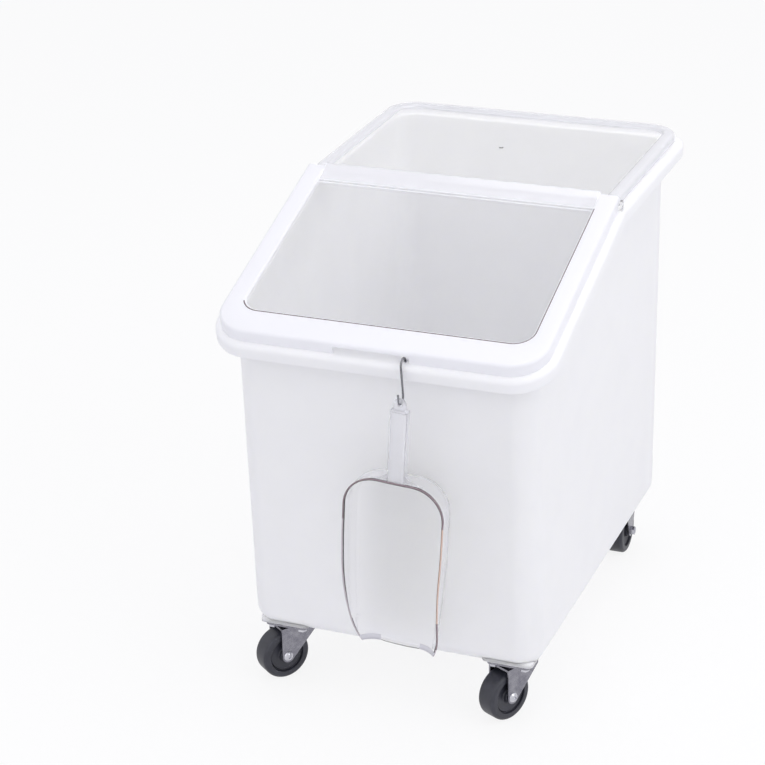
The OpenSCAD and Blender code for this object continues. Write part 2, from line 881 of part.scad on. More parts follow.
module axle_fl() color("lightgray") place() swivel_spot(-1, swivel_left) axle_bolt(-trail);

module axle_fr() color("lightgray") place() swivel_spot(1, swivel_right) axle_bolt(-trail);

module axle_nut_fl() color("lightgray") place() swivel_spot(-1, swivel_left) axle_nut(-trail);

module axle_nut_fr() color("lightgray") place() swivel_spot(1, swivel_right) axle_nut(-trail);

module fork_rl() color("silver") place() rigid_spot(-1) rigid_fork();

module fork_rr() color("silver") place() rigid_spot(1) rigid_fork();

module wheel_rl() color([0.24, 0.25, 0.28]) place() rigid_spot(-1) caster_wheel(0);

module wheel_rr() color([0.24, 0.25, 0.28]) place() rigid_spot(1) caster_wheel(0);

module bush_rl() color("gray") place() rigid_spot(-1) wheel_bush(0);

module bush_rr() color("gray") place() rigid_spot(1) wheel_bush(0);

module axle_rl() color("lightgray") place() rigid_spot(-1) axle_bolt(0);

module axle_rr() color("lightgray") place() rigid_spot(1) axle_bolt(0);

module axle_nut_rl() color("lightgray") place() rigid_spot(-1) axle_nut(0);

module axle_nut_rr() color("lightgray") place() rigid_spot(1) axle_nut(0);

bin_body();
rear_cover();
front_lid();
lid_runner_left();
lid_runner_right();
lid_guide_left();
lid_guide_right();
s_hook();
scoop();
caster_inserts();
caster_bolts();
plate_fl();
plate_fr();
king_pin_fl();
king_pin_fr();
balls_fl();
balls_fr();
fork_fl();
fork_fr();
fork_rl();
fork_rr();
wheel_fl();
wheel_fr();
wheel_rl();
wheel_rr();
bush_fl();
bush_fr();
bush_rl();
bush_rr();
axle_fl();
axle_fr();
axle_rl();
axle_rr();
axle_nut_fl();
axle_nut_fr();
axle_nut_rl();
axle_nut_rr();
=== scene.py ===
"""Looks of the rolling flour bin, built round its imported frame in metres."""

import json
import logging
import math
from abc import ABC, abstractmethod
from collections.abc import Sequence
from dataclasses import dataclass, field
from enum import Enum

import bmesh
import bpy
from mathutils import Matrix, Vector


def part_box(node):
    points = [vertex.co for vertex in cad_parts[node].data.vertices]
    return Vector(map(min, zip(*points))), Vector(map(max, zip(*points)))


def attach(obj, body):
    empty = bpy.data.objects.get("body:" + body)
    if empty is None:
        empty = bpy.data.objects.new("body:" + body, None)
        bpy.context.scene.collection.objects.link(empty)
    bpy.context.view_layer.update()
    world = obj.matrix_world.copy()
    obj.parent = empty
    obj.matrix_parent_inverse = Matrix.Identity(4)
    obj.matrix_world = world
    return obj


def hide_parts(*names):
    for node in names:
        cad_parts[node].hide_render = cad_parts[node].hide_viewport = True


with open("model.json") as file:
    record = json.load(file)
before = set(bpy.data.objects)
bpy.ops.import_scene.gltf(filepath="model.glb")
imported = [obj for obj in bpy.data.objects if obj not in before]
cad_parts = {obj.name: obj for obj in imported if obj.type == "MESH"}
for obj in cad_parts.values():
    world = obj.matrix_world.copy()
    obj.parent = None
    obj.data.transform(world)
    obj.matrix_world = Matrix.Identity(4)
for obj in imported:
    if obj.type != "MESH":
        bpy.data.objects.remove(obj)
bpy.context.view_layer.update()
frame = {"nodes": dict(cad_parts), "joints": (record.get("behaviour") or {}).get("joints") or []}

log = logging.getLogger("flour_bin")
MM = 0.001
Object = bpy.types.Object
Material = bpy.types.Material
Tree = bpy.types.NodeTree
Socket = bpy.types.NodeSocket
Pair = tuple[float, float]
Triple = tuple[float, float, float]
Ring = list[Vector]
Profile = list[Pair]
Faces = list[Sequence[int]]


class Side(Enum):
    """The two sides of the bin, seen from the front."""

    LEFT = -1
    RIGHT = 1


class CasterPlace(Enum):
    """The four casters by the letters of their nodes."""

    FRONT_LEFT = "fl"
    FRONT_RIGHT = "fr"
    REAR_LEFT = "rl"
    REAR_RIGHT = "rr"


# Meshes


def arc(centre: Pair, r: float, start: float, end: float, steps: int) -> Profile:
    """Points along an arc, both ends included.

    Args:
        centre: the arc's centre.
        r: its radius.
        start: first angle in degrees.
        end: last angle in degrees.
        steps: number of segments.

    Returns:
        The points.
    """
    angles = [math.radians(start + (end - start) * i / steps) for i in range(steps + 1)]
    return [(centre[0] + r * math.cos(a), centre[1] + r * math.sin(a)) for a in angles]


def circle(r: float, sides: int) -> Profile:
    """Corners of a round about the origin."""
    return arc((0, 0), r, 0, 360 - 360 / sides, sides - 1)


def new_object(name: str, points: Ring, faces: Faces, mend: bool = True) -> Object:
    """Makes a smooth-shaded mesh object from points and faces.

    Args:
        name: the piece's name.
        points: corners in metres, in the shared frame.
        faces: corner numbers of each face.
        mend: whether doubled corners are merged and the normals turned outwards.

    Returns:
        The linked object.
    """
    mesh = bpy.data.meshes.new(name)
    mesh.from_pydata([tuple(p) for p in points], [], [tuple(f) for f in faces])
    if mend:
        work = bmesh.new()
        work.from_mesh(mesh)
        bmesh.ops.remove_doubles(work, verts=work.verts, dist=1e-6)
        bmesh.ops.recalc_face_normals(work, faces=work.faces)
        work.to_mesh(mesh)
        work.free()
    mesh.shade_smooth()
    obj = bpy.data.objects.new(name, mesh)
    bpy.context.scene.collection.objects.link(obj)
    return obj


def skin(name: str, rings: Sequence[Ring], loop: bool = False) -> Object:
    """Skins closed rings that all have the same number of points.

    Args:
        name: the piece's name.
        rings: the rings in order.
        loop: whether the last ring joins the first; if not, both are closed with a face.

    Returns:
        The skinned object.
    """
    n = len(rings[0])
    points = [p for ring in rings for p in ring]
    faces: Faces = []
    for i in range(len(rings) if loop else len(rings) - 1):
        a = i * n
        b = ((i + 1) % len(rings)) * n
        faces.extend((a + k, a + (k + 1) % n, b + (k + 1) % n, b + k) for k in range(n))
    if not loop:
        faces.append(list(range(n)))
        faces.append(list(range((len(rings) - 1) * n, len(rings) * n)))
    return new_object(name, points, faces)


def tube(name: str, line: Ring, r: float, sides: int, across: Vector, start: float = 0) -> Object:
    """Sweeps a round along a line.

    Args:
        name: the piece's name.
        line: points in metres.
        r: radius in metres.
        sides: sides of the round.
        across: a direction that the line never takes.
        start: angle of the round's first corner in degrees.

    Returns:
        The tube.
    """
    turns = [math.radians(start + 360 * k / sides) for k in range(sides)]
    rings: list[Ring] = []
    for i, spot in enumerate(line):
        along = (line[min(i + 1, len(line) - 1)] - line[max(i - 1, 0)]).normalized()
        side = along.cross(across).normalized()
        back = side.cross(along)
        rings.append([spot + (side * math.cos(a) + back * math.sin(a)) * r for a in turns])
    return skin(name, rings)


def u_grid(points: Ring, strips: Sequence[Ring], rows: int) -> list[list[int]]:
    """Adds the points of one side of a three-sided sheet.

    Args:
        points: the mesh's points so far, added to here.
        strips: points from the outer edge inwards for each place round the three sides.
        rows: number of places on each of the two open-ended sides.

    Returns:
        Point numbers of each strip, followed by those of each row of the fill.
    """
    lines: list[list[int]] = []
    for strip in strips:
        start = len(points)
        points.extend(strip)
        lines.append(list(range(start, start + len(strip))))
    columns = len(strips) - 2 * rows + 1
    for i in range(rows - 1):
        a = lines[i][-1]
        b = lines[len(strips) - 1 - i][-1]
        row = [a]
        for k in range(1, columns):
            points.append(points[a].lerp(points[b], k / columns))
            row.append(len(points) - 1)
        lines.append(row + [b])
    lines.append([lines[rows - 1 + k][-1] for k in range(columns + 1)])
    return lines


def sheet_u(name: str, sides: Sequence[Sequence[Ring]], rows: int, brow_rows: int = 0) -> Object:
    """Skins a sheet that is edged on three sides and filled between them.

    Args:
        name: the piece's name.
        sides: the strips of its upper side and, for a closed sheet, those of its lower side. They
            run from the outer edge inwards, for places down one side, along the far side and back.
        rows: number of places on each of the two open-ended sides.
        brow_rows: rows of the fill next to the open end that have material 2.

    Returns:
        The sheet; its fill has material 0 and its edging material 1.
    """
    points: Ring = []
    faces: Faces = []
    marks: list[int] = []
    count = len(sides[0])
    grids = [u_grid(points, strips, rows) for strips in sides]
    for grid, turn in zip(grids, (1, -1)):
        for edging, block in ((True, grid[:count]), (False, grid[count:])):
            for i, (a, b) in enumerate(zip(block, block[1:])):
                for k in range(len(a) - 1):
                    faces.append((a[k], b[k], b[k + 1], a[k + 1])[::turn])
                    marks.append(1 if edging else 2 if i < brow_rows else 0)
    closed = len(grids) == 2
    if closed:
        hems = [[line[0] for line in grid[:count]] for grid in grids]
        ends = [grid[0] + grid[count][1:-1] + grid[count - 1][::-1] for grid in grids]
        for a, b in (hems, (ends[1], ends[0])):
            faces.extend((a[k], b[k], b[k + 1], a[k + 1]) for k in range(len(a) - 1))
        marks += [1] * (len(faces) - len(marks))
    obj = new_object(name, points, faces, mend=False)
    obj.data.polygons.foreach_set("material_index", marks)
    if closed:
        sharpen(obj)
    return obj


def sharpen(obj: Object, angle: float = 50) -> None:
    """Shades the edges over an angle in degrees as sharp."""
    obj.data.set_sharp_from_angle(angle=math.radians(angle))


def join(name: str, parts: Sequence[Object]) -> Object:
    """Joins meshes into the first of them.

    Args:
        name: name of the joined piece.
        parts: the objects; all but the first are used up.

    Returns:
        The joined object.
    """
    work = bmesh.new()
    for part in parts:
        work.from_mesh(part.data)
    work.to_mesh(parts[0].data)
    work.free()
    for part in parts[1:]:
        bpy.data.objects.remove(part)
    parts[0].name = name
    parts[0].data.name = name
    return parts[0]


def cut(obj: Object, cutters: Sequence[Object]) -> None:
    """Cuts shapes out of a piece for good and removes the shapes.

    Args:
        obj: the piece.
        cutters: closed meshes to take away.
    """
    for cutter in cutters:
        step = obj.modifiers.new("cut", "BOOLEAN")
        step.object = cutter
        step.operation = "DIFFERENCE"
        step.solver = "EXACT"
    bpy.context.view_layer.update()
    shown = obj.evaluated_get(bpy.context.evaluated_depsgraph_get())
    result = bpy.data.meshes.new_from_object(shown)
    obj.modifiers.clear()
    obj.data = result
    for cutter in cutters:
        bpy.data.objects.remove(cutter)


def bevel(obj: Object, width: float, angle: float) -> None:
    """Rounds the edges of a piece.

    Args:
        obj: the piece.
        width: width of the round in mm.
        angle: smallest edge angle in degrees that is rounded.
    """
    edge = obj.modifiers.new("edges", "BEVEL")
    edge.width = width * MM
    edge.segments = 2
    edge.limit_method = "ANGLE"
    edge.angle_limit = math.radians(angle)


def even_normals(obj: Object) -> None:
    """Lets large flat faces keep their own shading beside small rounds.

    Args:
        obj: the piece.
    """
    step = obj.modifiers.new("even_normals", "WEIGHTED_NORMAL")
    step.mode = "FACE_AREA"
    step.weight = 60
    step.keep_sharp = False


def soften(obj: Object, width: float) -> None:
    """Gives a CAD node the small edge rounds of the real piece.

    Args:
        obj: the node's object.
        width: width of the round in mm.
    """
    weld = obj.modifiers.new("weld", "WELD")
    weld.merge_threshold = 2e-6
    flat = obj.modifiers.new("join_flats", "DECIMATE")
    flat.decimate_type = "DISSOLVE"
    flat.angle_limit = math.radians(0.4)
    bevel(obj, width, 32)
    even_normals(obj)


# Dressing


def dress(obj: Object, *materials: Material) -> None:
    """Puts materials in a piece's slots.

    Args:
        obj: the piece.
        materials: what goes in its slots, in order.
    """
    # Clearing resets the faces' slot numbers, so an own mesh, which has no slots yet, isn't cleared
    if obj.data.materials:
        obj.data.materials.clear()
    for material in materials:
        obj.data.materials.append(material)


def dress_node(name: str, material: Material, width: float = 0) -> None:
    """Dresses a node that keeps its CAD shape.

    Args:
        name: the node's name.
        material: its material.
        width: width in mm of the rounds on its edges.
    """
    node = frame["nodes"][name]
    if width:
        soften(node, width)
    dress(node, material)
    log.info("%s keeps its CAD shape", name)


def settle(obj: Object, body: str, slot: str, materials: Sequence[Material], *nodes: str) -> None:
    """Dresses an own mesh, makes it ride on a body and stand for CAD nodes.

    Args:
        obj: the piece.
        body: the CAD body it moves with.
        slot: the record's material slot; not used.
        materials: what goes in its slots, in order.
        nodes: CAD nodes it stands for.
    """
    dress(obj, *materials)
    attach(obj, body)
    if nodes:
        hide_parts(*nodes)
    log.info("%s rides on %s, %d faces", obj.name, body, len(obj.data.polygons))


# Finishes


def linear(colour: str) -> tuple[float, float, float, float]:
    """Turns an sRGB hex colour into linear light.

    Args:
        colour: six hex digits.

    Returns:
        Linear red, green, blue and a full alpha.
    """
    parts = [int(colour[i : i + 2], 16) / 255 for i in (0, 2, 4)]
    lit = [c / 12.92 if c <= 0.04045 else ((c + 0.055) / 1.055) ** 2.4 for c in parts]
    return lit[0], lit[1], lit[2], 1.0


def add_node(
    tree: Tree, kind: str, inputs: dict[str | int, object] | None = None, operation: str = ""
) -> bpy.types.Node:
    """Adds one node, sets it and links what feeds it.

    Args:
        tree: the node tree to add to.
        kind: Blender's name of the node type, without its prefix.
        inputs: values or output sockets by input name or index.
        operation: what a maths node does.

    Returns:
        The new node.
    """
    node = tree.nodes.new(f"ShaderNode{kind}")
    if operation:
        node.operation = operation
    for key, value in (inputs or {}).items():
        if isinstance(value, Socket):
            tree.links.new(value, node.inputs[key])
        else:
            node.inputs[key].default_value = value
    return node


class Recipe:
    """A node material while it is put together."""

    def __init__(self, name: str) -> None:
        """Starts an empty material.

        Args:
            name: the finish's name.
        """
        self.material = bpy.data.materials.new(name)
        self.material.use_nodes = True
        self.tree = self.material.node_tree
        self.tree.nodes.clear()
        self.place = add_node(self.tree, "TexCoord").outputs["Object"]

    def noise(self, grain_mm: float, detail: float, place: Socket | None = None) -> Socket:
        """Noise with grains of about a size.

        Args:
            grain_mm: size of the grains in mm.
            detail: how much finer noise is in it.
            place: coordinates other than the object's own.

        Returns:
            The socket of its value.
        """
        inputs = {"Vector": place or self.place, "Scale": 1 / MM / grain_mm, "Detail": detail}
        return add_node(self.tree, "TexNoise", inputs).outputs["Fac"]

    def tone(self, value: Socket, colours: tuple[str, str], ends: Pair = (0.3, 0.7)) -> Socket:
        """A colour that runs between two colours.

        Args:
            value: what it follows.
            colours: first and last hex colour.
            ends: the values at which they stand.

        Returns:
            The socket of the colour.
        """
        ramp = add_node(self.tree, "ValToRGB", {"Fac": value})
        for stop, end, colour in zip(ramp.color_ramp.elements, ends, colours):
            stop.position = end
            stop.color = linear(colour)
        return ramp.outputs["Color"]

    def between(self, value: Socket, low_high: Pair, ends: Pair = (0, 1)) -> Socket:
        """A number that runs from low to high where a value runs between two ends."""
        inputs = {"From Min": ends[0], "From Max": ends[1], "To Min": low_high[0], "To Max": low_high[1]}
        return add_node(self.tree, "MapRange", {"Value": value} | inputs).outputs["Result"]

    def bump(self, height: Socket, strength: float, depth_mm: float, under: Socket | None = None) -> Socket:
        """A relief.

        Args:
            height: what it follows.
            strength: how strongly it shows.
            depth_mm: its depth in mm.
            under: a relief that it is laid over.

        Returns:
            The socket of the normal.
        """
        inputs = {"Height": height, "Strength": strength, "Distance": depth_mm * MM}
        if under:
            inputs["Normal"] = under
        return add_node(self.tree, "Bump", inputs).outputs["Normal"]

    def principled(self, inputs: dict[str | int, object]) -> Socket:
        """The surface shader with the given inputs."""
        return add_node(self.tree, "BsdfPrincipled", inputs).outputs["BSDF"]

    def mix(self, share: Socket, first: Socket, second: Socket) -> Socket:
        """Mixes two shaders."""
        return add_node(self.tree, "MixShader", {"Fac": share, 1: first, 2: second}).outputs["Shader"]

    def done(self, shader: Socket) -> Material:
        """Ends the material with its shader and gives it back."""
        add_node(self.tree, "OutputMaterial", {"Surface": shader})
        return self.material


@dataclass(frozen=True)
class MouldedPolyethylene:
    """Rotationally moulded white polyethylene.

    The mould gives it a satin skin with a fine peel and slow waves, so highlights are wide and
    a little uneven, and some light travels under the surface.
    """

    colours: tuple[str, str] = ("F5F5F8", "F9F9FB")
    roughness: Pair = (0.36, 0.46)
    peel_mm: float = 2.6
    wave_mm: float = 85
    under_skin: float = 0.9
    under_skin_m: Triple = (0.011, 0.011, 0.012)

    def material(self) -> Material:
        """Builds the node material.

        Returns:
            The material.
        """
        recipe = Recipe("moulded_white_polyethylene")
        wave = recipe.noise(self.wave_mm, 2)
        # The real peel is about 1 mm, drawn coarser so that it shows
        peel = recipe.noise(self.peel_mm, 2)
        plastic = {
            "Base Color": recipe.tone(wave, self.colours),
            "Roughness": recipe.between(peel, self.roughness),
            "Normal": recipe.bump(peel, 0.08, 0.3, recipe.bump(wave, 0.12, 4)),
            "IOR": 1.51,
            "Subsurface Weight": self.under_skin,
            "Subsurface Radius": self.under_skin_m,
            "Subsurface Scale": 1.0,
        }
        return recipe.done(recipe.principled(plastic))


@dataclass(frozen=True)
class ClearPolycarbonate:
    """Injection moulded polycarbonate.

    It is glossy and see-through, with slow ripples from the mould and faint rub marks. Where it is textured
    it looks milky and lets less through.
    Some copies carry painted light and shade and let less through: a milky brow and white creases as painted
    highlights, a dark line at the panel's step as painted shade, and pale, dark and amber colours on the
    scoop's edge as painted light and shade where light runs along a cut edge.
    """

    name: str = "clear_polycarbonate"
    colour: str = "FEFEFF"
    transmission: float = 1.0
    roughness: Pair = (0.02, 0.07)
    shadow: str = "FDFDFE"
    ripple_mm: float = 60
    rub_mm: float = 3.5

    def material(self) -> Material:
        """Builds the node material.

        Returns:
            The material.
        """
        recipe = Recipe(self.name)
        ripple = recipe.noise(self.ripple_mm, 1)
        rub = recipe.noise(self.rub_mm, 3)
        plastic = {
            "Base Color": linear(self.colour),
            "Transmission Weight": self.transmission,
            "IOR": 1.585,
            "Roughness": recipe.between(rub, self.roughness, (0.35, 0.75)),
            "Normal": recipe.bump(ripple, 0.05, 2),
        }
        passed = add_node(recipe.tree, "BsdfTransparent", {"Color": linear(self.shadow)})
        shade = add_node(recipe.tree, "LightPath").outputs["Is Shadow Ray"]
        return recipe.done(recipe.mix(shade, recipe.principled(plastic), passed.outputs["BSDF"]))


@dataclass(frozen=True)
class Metal:
    """A metal surface with fine marks from how it was made.

    The marks break up the highlight: rolling and plating leave a soft cloud, drawing leaves
    lines along the wire, and turning leaves a bright even skin.
    """

    name: str
    colours: tuple[str, str]
    roughness: Pair
    cloud_mm: float = 14
    stretch: Triple = (1.0, 1.0, 1.0)
    grain_mm: float = 1.5

    def material(self) -> Material:
        """Builds the node material.

        Returns:
            The material.
        """
        recipe = Recipe(self.name)
        lay = add_node(recipe.tree, "Mapping", {"Vector": recipe.place, "Scale": self.stretch})
        grain = recipe.noise(self.grain_mm, 3, lay.outputs["Vector"])
        metal = {
            "Base Color": recipe.tone(recipe.noise(self.cloud_mm, 3), self.colours),
            "Metallic": 1.0,
            "Roughness": recipe.between(grain, self.roughness),
            "Normal": recipe.bump(grain, 0.06, 0.3),
        }
        return recipe.done(recipe.principled(metal))


@dataclass(frozen=True)
class MouldedTread:
    """Moulded grey thermoplastic rubber and nylon of wheels and bushes.

    It is matt and dark with a fine grit, and dust dulls it in patches.
    """

    name: str
    colours: tuple[str, str]
    roughness: Pair
    grit_mm: float = 1.2
    dust_mm: float = 16

    def material(self) -> Material:
        """Builds the node material.

        Returns:
            The material.
        """
        recipe = Recipe(self.name)
        dust = recipe.noise(self.dust_mm, 4)
        tread = {
            "Base Color": recipe.tone(dust, self.colours, (0.4, 0.75)),
            "Roughness": recipe.between(dust, self.roughness),
            "Normal": recipe.bump(recipe.noise(self.grit_mm, 2), 0.12, 0.2),
            "IOR": 1.52,
        }
        return recipe.done(recipe.principled(tread))


class Finishes:
    """The finishes of the bin, made once and shared by its pieces."""

    def __init__(self) -> None:
        """Builds every material."""
        clear = ClearPolycarbonate
        cut_edge = (0.08, 0.2)
        self.tub = MouldedPolyethylene().material()
        self.lid = clear().material()
        self.scoop = clear("clear_scoop_polycarbonate", shadow="F6F6F9").material()
        # Textured border; on the lid's creases its white is a painted highlight
        self.border = clear("textured_border_and_painted_crease_highlight", "F8F8FB", 0.2, (0.3, 0.42)).material()
        # Painted highlight: the brow's milky white stands in for the highlights that make that band look
        # whitish
        self.brow = clear("brow_painted_highlight", "F6F6F9", 0.45, (0.1, 0.2)).material()
        self.cover_edge = clear("folded_polycarbonate_edge", "F0F0F3", 0.4, (0.08, 0.16)).material()
        # Painted shade: a dark line at the lid panel's step, standing in for the shade that refraction makes
        # there
        self.seam = clear("painted_refraction_shade_line", "6C5A62", 0.15, (0.1, 0.2)).material()
        # Painted light and shade on the scoop's edge: dark, pale and amber stand in for light running along
        # the sheet
        self.edge = clear("scoop_edge_painted_shade", "958289", 0.1, cut_edge).material()
        self.edge_light_pale = clear("scoop_edge_painted_pale_light", "D6CBD3", 0.1, cut_edge).material()
        self.edge_light_amber = clear("scoop_edge_painted_amber_light", "E7CABB", 0.1, cut_edge).material()
        self.lip = clear("worn_polycarbonate_lip", "DCDBE1", 0.05, (0.3, 0.4)).material()
        self.grip = clear("moulded_polycarbonate_grip", "F6F6F9", 0.72, (0.06, 0.16)).material()
        drawn = (1.0, 1.0, 0.08)
        self.wire = Metal("drawn_stainless_wire", ("6E6E74", "8B8B90"), (0.16, 0.3), stretch=drawn).material()
        self.zinc = Metal("zinc_plated_pressed_steel", ("7C7B85", "98979F"), (0.2, 0.36), 9).material()
        self.bright = Metal("bright_zinc_fastener", ("B4B4BD", "CFCFD6"), (0.16, 0.28)).material()
        self.ball = Metal("polished_bearing_steel", ("C3C3C9", "D2D2D6"), (0.06, 0.12)).material()
        self.brass = Metal("turned_brass", ("A98444", "C9A45C"), (0.2, 0.34)).material()
        self.wheel = MouldedTread("grey_moulded_tread", ("2B2C35", "383943"), (0.36, 0.52)).material()
        self.nylon = MouldedTread("moulded_nylon_bush", ("D8D5CB", "CBC8BE"), (0.4, 0.5)).material()


# Pieces


@dataclass(frozen=True)
class Top:
    """The slanted and flat top, in mm, with the ridge at drawn y = 0."""

    height: float = 711
    slant: float = 18
    half_w: float = 250
    front: float = 397
    rear: float = 376
    rim_r: float = 62
    bend: float = 5
    corner_steps: int = 12
    ridge_y: float = field(default_factory=lambda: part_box("bin_body")[1].y / MM - Top.rear)

    def at(self, x: float, v: float, depth: float) -> Vector:
        """Places a point under the top.

        Args:
            x: distance to the right of the middle.
            v: distance from the ridge, to the front where negative.
            depth: depth under the lid's top plane, square to it.

        Returns:
            The point in metres in the shared frame.
        """
        a = math.radians(self.slant)
        shift = depth * math.tan(a / 2)
        if abs(v) < 1e-6:
            y = shift
            z = -depth
        elif v > 0:
            y = max(v, self.bend + shift)
            z = -depth
        else:
            flat = min(v, -self.bend - shift)
            y = flat * math.cos(a) + depth * math.sin(a)
            z = flat * math.sin(a) - depth * math.cos(a)
        return Vector((x, y + self.ridge_y, z + self.height)) * MM

    def stations(self, half: float, front: float, rear: float, r: float) -> Profile:
        """Places round a rounded outline, in the same order for every outline.

        Args:
            half: half width.
            front: distance of the front side from the ridge.
            rear: distance of the rear side from the ridge.
            r: corner radius.

        Returns:
            Pairs of x and distance from the ridge.
        """
        n = self.corner_steps
        cx = half - r
        points: Profile = [(half, 0.0), (half, self.bend)]
        points += arc((cx, rear - r), r, 0, 90, n)
        points += arc((-cx, rear - r), r, 90, 180, n)
        points += [(-half, self.bend), (-half, 0.0), (-half, -self.bend)]
        points += arc((-cx, r - front), r, 180, 270, n)
        points += arc((cx, r - front), r, 270, 360, n)
        points.append((half, -self.bend))
        return points

    def ring(self, sizes: Sequence[float], grow: float, depth: float) -> Ring:
        """A sunk ring whose sizes, which are those of stations, have all grown."""
        return [self.at(x, v, depth) for x, v in self.stations(*(size + grow for size in sizes))]


@dataclass
class Piece(ABC):
    """A part of the bin that builds and dresses itself with the shared finishes."""

    finishes: Finishes

    @abstractmethod
    def build(self) -> None:
        """Builds the part's shapes, dresses them and makes them ride on their bodies."""


@dataclass
class Slab:
    """A slab with round corners and a round upper edge, in mm."""

    size: Pair
    low: float
    high: float
    r: float
    edge: float

    def rings(self, x: float, y: float) -> list[Ring]:
        """Rings from the bottom up.

        Args:
            x: the middle's distance to the right.
            y: its distance to the back.

        Returns:
            The rings in metres.
        """
        hx, hy = (side / 2 - self.r for side in self.size)
        levels = [(0.0, self.low)]
        levels += [
            (self.edge - self.edge * math.cos(a), self.high - self.edge + self.edge * math.sin(a))
            for a in (0, 0.5, 1.05, 1.57)
        ]
        rings: list[Ring] = []
        for inset, z in levels:
            ring: Ring = []
            for sx, sy, start in ((1, 1, 0), (-1, 1, 90), (-1, -1, 180), (1, -1, 270)):
                corner = arc((sx * hx, sy * hy), self.r - inset, start, start + 90, 5)
                ring += [Vector((x + dx, y + dy, z)) * MM for dx, dy in corner]
            rings.append(ring)
        return rings


@dataclass
class Tub(Piece):
    """The rotationally moulded body with its rolled rim, in mm."""

    top: Top
    base_z: float = 96
    half: float = 221
    front: float = 362
    rear: float = 337
    front_foot: float = -310.4
    front_top: float = -338.4
    front_top_z: float = 582
    rear_foot: float = 322
    corner_r: float = 36
    corner_min: float = 3
    base_r: float = 30
    wall: float = 4.5
    floor: float = 6
    rim_depth: float = 19
    band_h: float = 23
    band_r: float = 9
    band_foot_r: float = 2.2
    lip_r: float = 3
    cove_r: float = 4
    hole: Pair = (49, -381.8)
    hole_r: float = 2.8
    hole_depths: Pair = (12, 30)
    pocket_xs: Pair = (233.6, 244.4)
    pocket_depth: float = 15
    pocket_r: float = 9
    caster_x: float = 172
    caster_ys: Pair = (-251, 276)
    seat: Slab = field(default_factory=lambda: Slab((64, 92), 96.02, 104, 6, 2))
    pad: Slab = field(default_factory=lambda: Slab((76, 104), 100, 108.5, 8, 3))

    def foot_ring(self, inset: float, lift: float) -> Ring:
        """A ring round the foot of the wall.

        Args:
            inset: distance in from the wall's outside.
            lift: height over the underside.

        Returns:
            The ring in metres.
        """
        rear_top_z = self.top.height - self.rim_depth
        lean_f = (self.front_foot - self.front_top) / (self.front_top_z - self.base_z)
        lean_r = (self.rear - self.rear_foot) / (rear_top_z - self.base_z)
        front = -(self.front_foot - lift * lean_f) - inset
        rear = self.rear_foot + lift * lean_r - inset
        r = max(self.corner_r - inset, self.corner_min)
        spots = self.top.stations(self.half - inset, front, rear, r)
        z = self.base_z + lift
        return [Vector((x, v + self.top.ridge_y, z)) * MM for x, v in spots]

    def foot(self, r: float, inset: float, lift: float) -> list[Ring]:
        """Rings of the round between floor and wall, from the floor up."""
        steps = [math.radians(90 - 90 * i / 8) for i in range(9)]
        return [self.foot_ring(inset + r - r * math.cos(a), lift + r - r * math.sin(a)) for a in steps]

    def wall_ring(self, out: float, depth: float) -> Ring:
        """A ring where the wall meets the rim, moved out from the wall's outside."""
        return self.top.ring((self.half, self.front, self.rear, self.corner_r), out, depth)

    def rings(self) -> list[Ring]:
        """The whole section.

        Returns:
            Rings from the inner floor over the rim to the underside.
        """
        d = self.rim_depth
        under = d + self.wall
        quarter = [math.radians(a) for a in (0, 30, 60, 90)]
        rings = self.foot(self.base_r - self.wall, self.wall, self.floor)
        r = self.lip_r
        rings += [self.wall_ring(r - self.wall - r * math.cos(a), d + r - r * math.sin(a)) for a in quarter]
        edge = arc((self.band_r, d + self.band_r), self.band_r, -90, -180, 9)
        edge += arc((self.band_foot_r, d + self.band_h - self.band_foot_r), self.band_foot_r, 180, 0, 6)
        r = self.cove_r
        edge += arc((self.wall + r, under + r), r, 180, 270, 4)
        rim = (self.top.half_w, self.top.front, self.top.rear, self.top.rim_r)
        rings += [self.top.ring(rim, -inset, depth) for inset, depth in edge]
        rings += [self.wall_ring(r - r * math.sin(a), under + r - r * math.cos(a)) for a in quarter]
        return rings + self.foot(self.base_r, 0, 0)[::-1]

    def cutters(self) -> list[Object]:
        """Shapes that are cut out of the rim.

        Returns:
            The hook's hole and the two saddle pockets.
        """
        x, v = self.hole
        ring = circle(self.hole_r, 24)
        hole = [[self.top.at(x + dx, v + dv, depth) for dx, dv in ring] for depth in self.hole_depths]
        shapes = [skin("hook_hole", hole)]
        for side in Side:
            axes = [self.top.at(side.value * x, 0, self.pocket_depth) for x in self.pocket_xs]
            ring = circle(self.pocket_r, 48)
            rings = [[axis + Vector((0, y, z)) * MM for y, z in ring] for axis in axes]
            shapes.append(skin(f"saddle_pocket_{side.name.lower()}", rings))
        return shapes

    def build(self) -> None:
        """Builds and dresses the body."""
        shell = skin("tub_shell", self.rings())
        cut(shell, self.cutters())
        parts = [shell]
        for x in (-self.caster_x, self.caster_x):
            for y in self.caster_ys:
                parts.append(skin("caster_seat", self.seat.rings(x, y + self.top.ridge_y)))
                parts.append(skin("floor_pad", self.pad.rings(x, y + self.top.ridge_y)))
        tub = join("tub_with_rolled_rim", parts)
        tub.data.shade_smooth()
        sharpen(tub)
        even_normals(tub)
        settle(tub, "bin", "white_polyethylene", [self.finishes.tub], "bin_body")


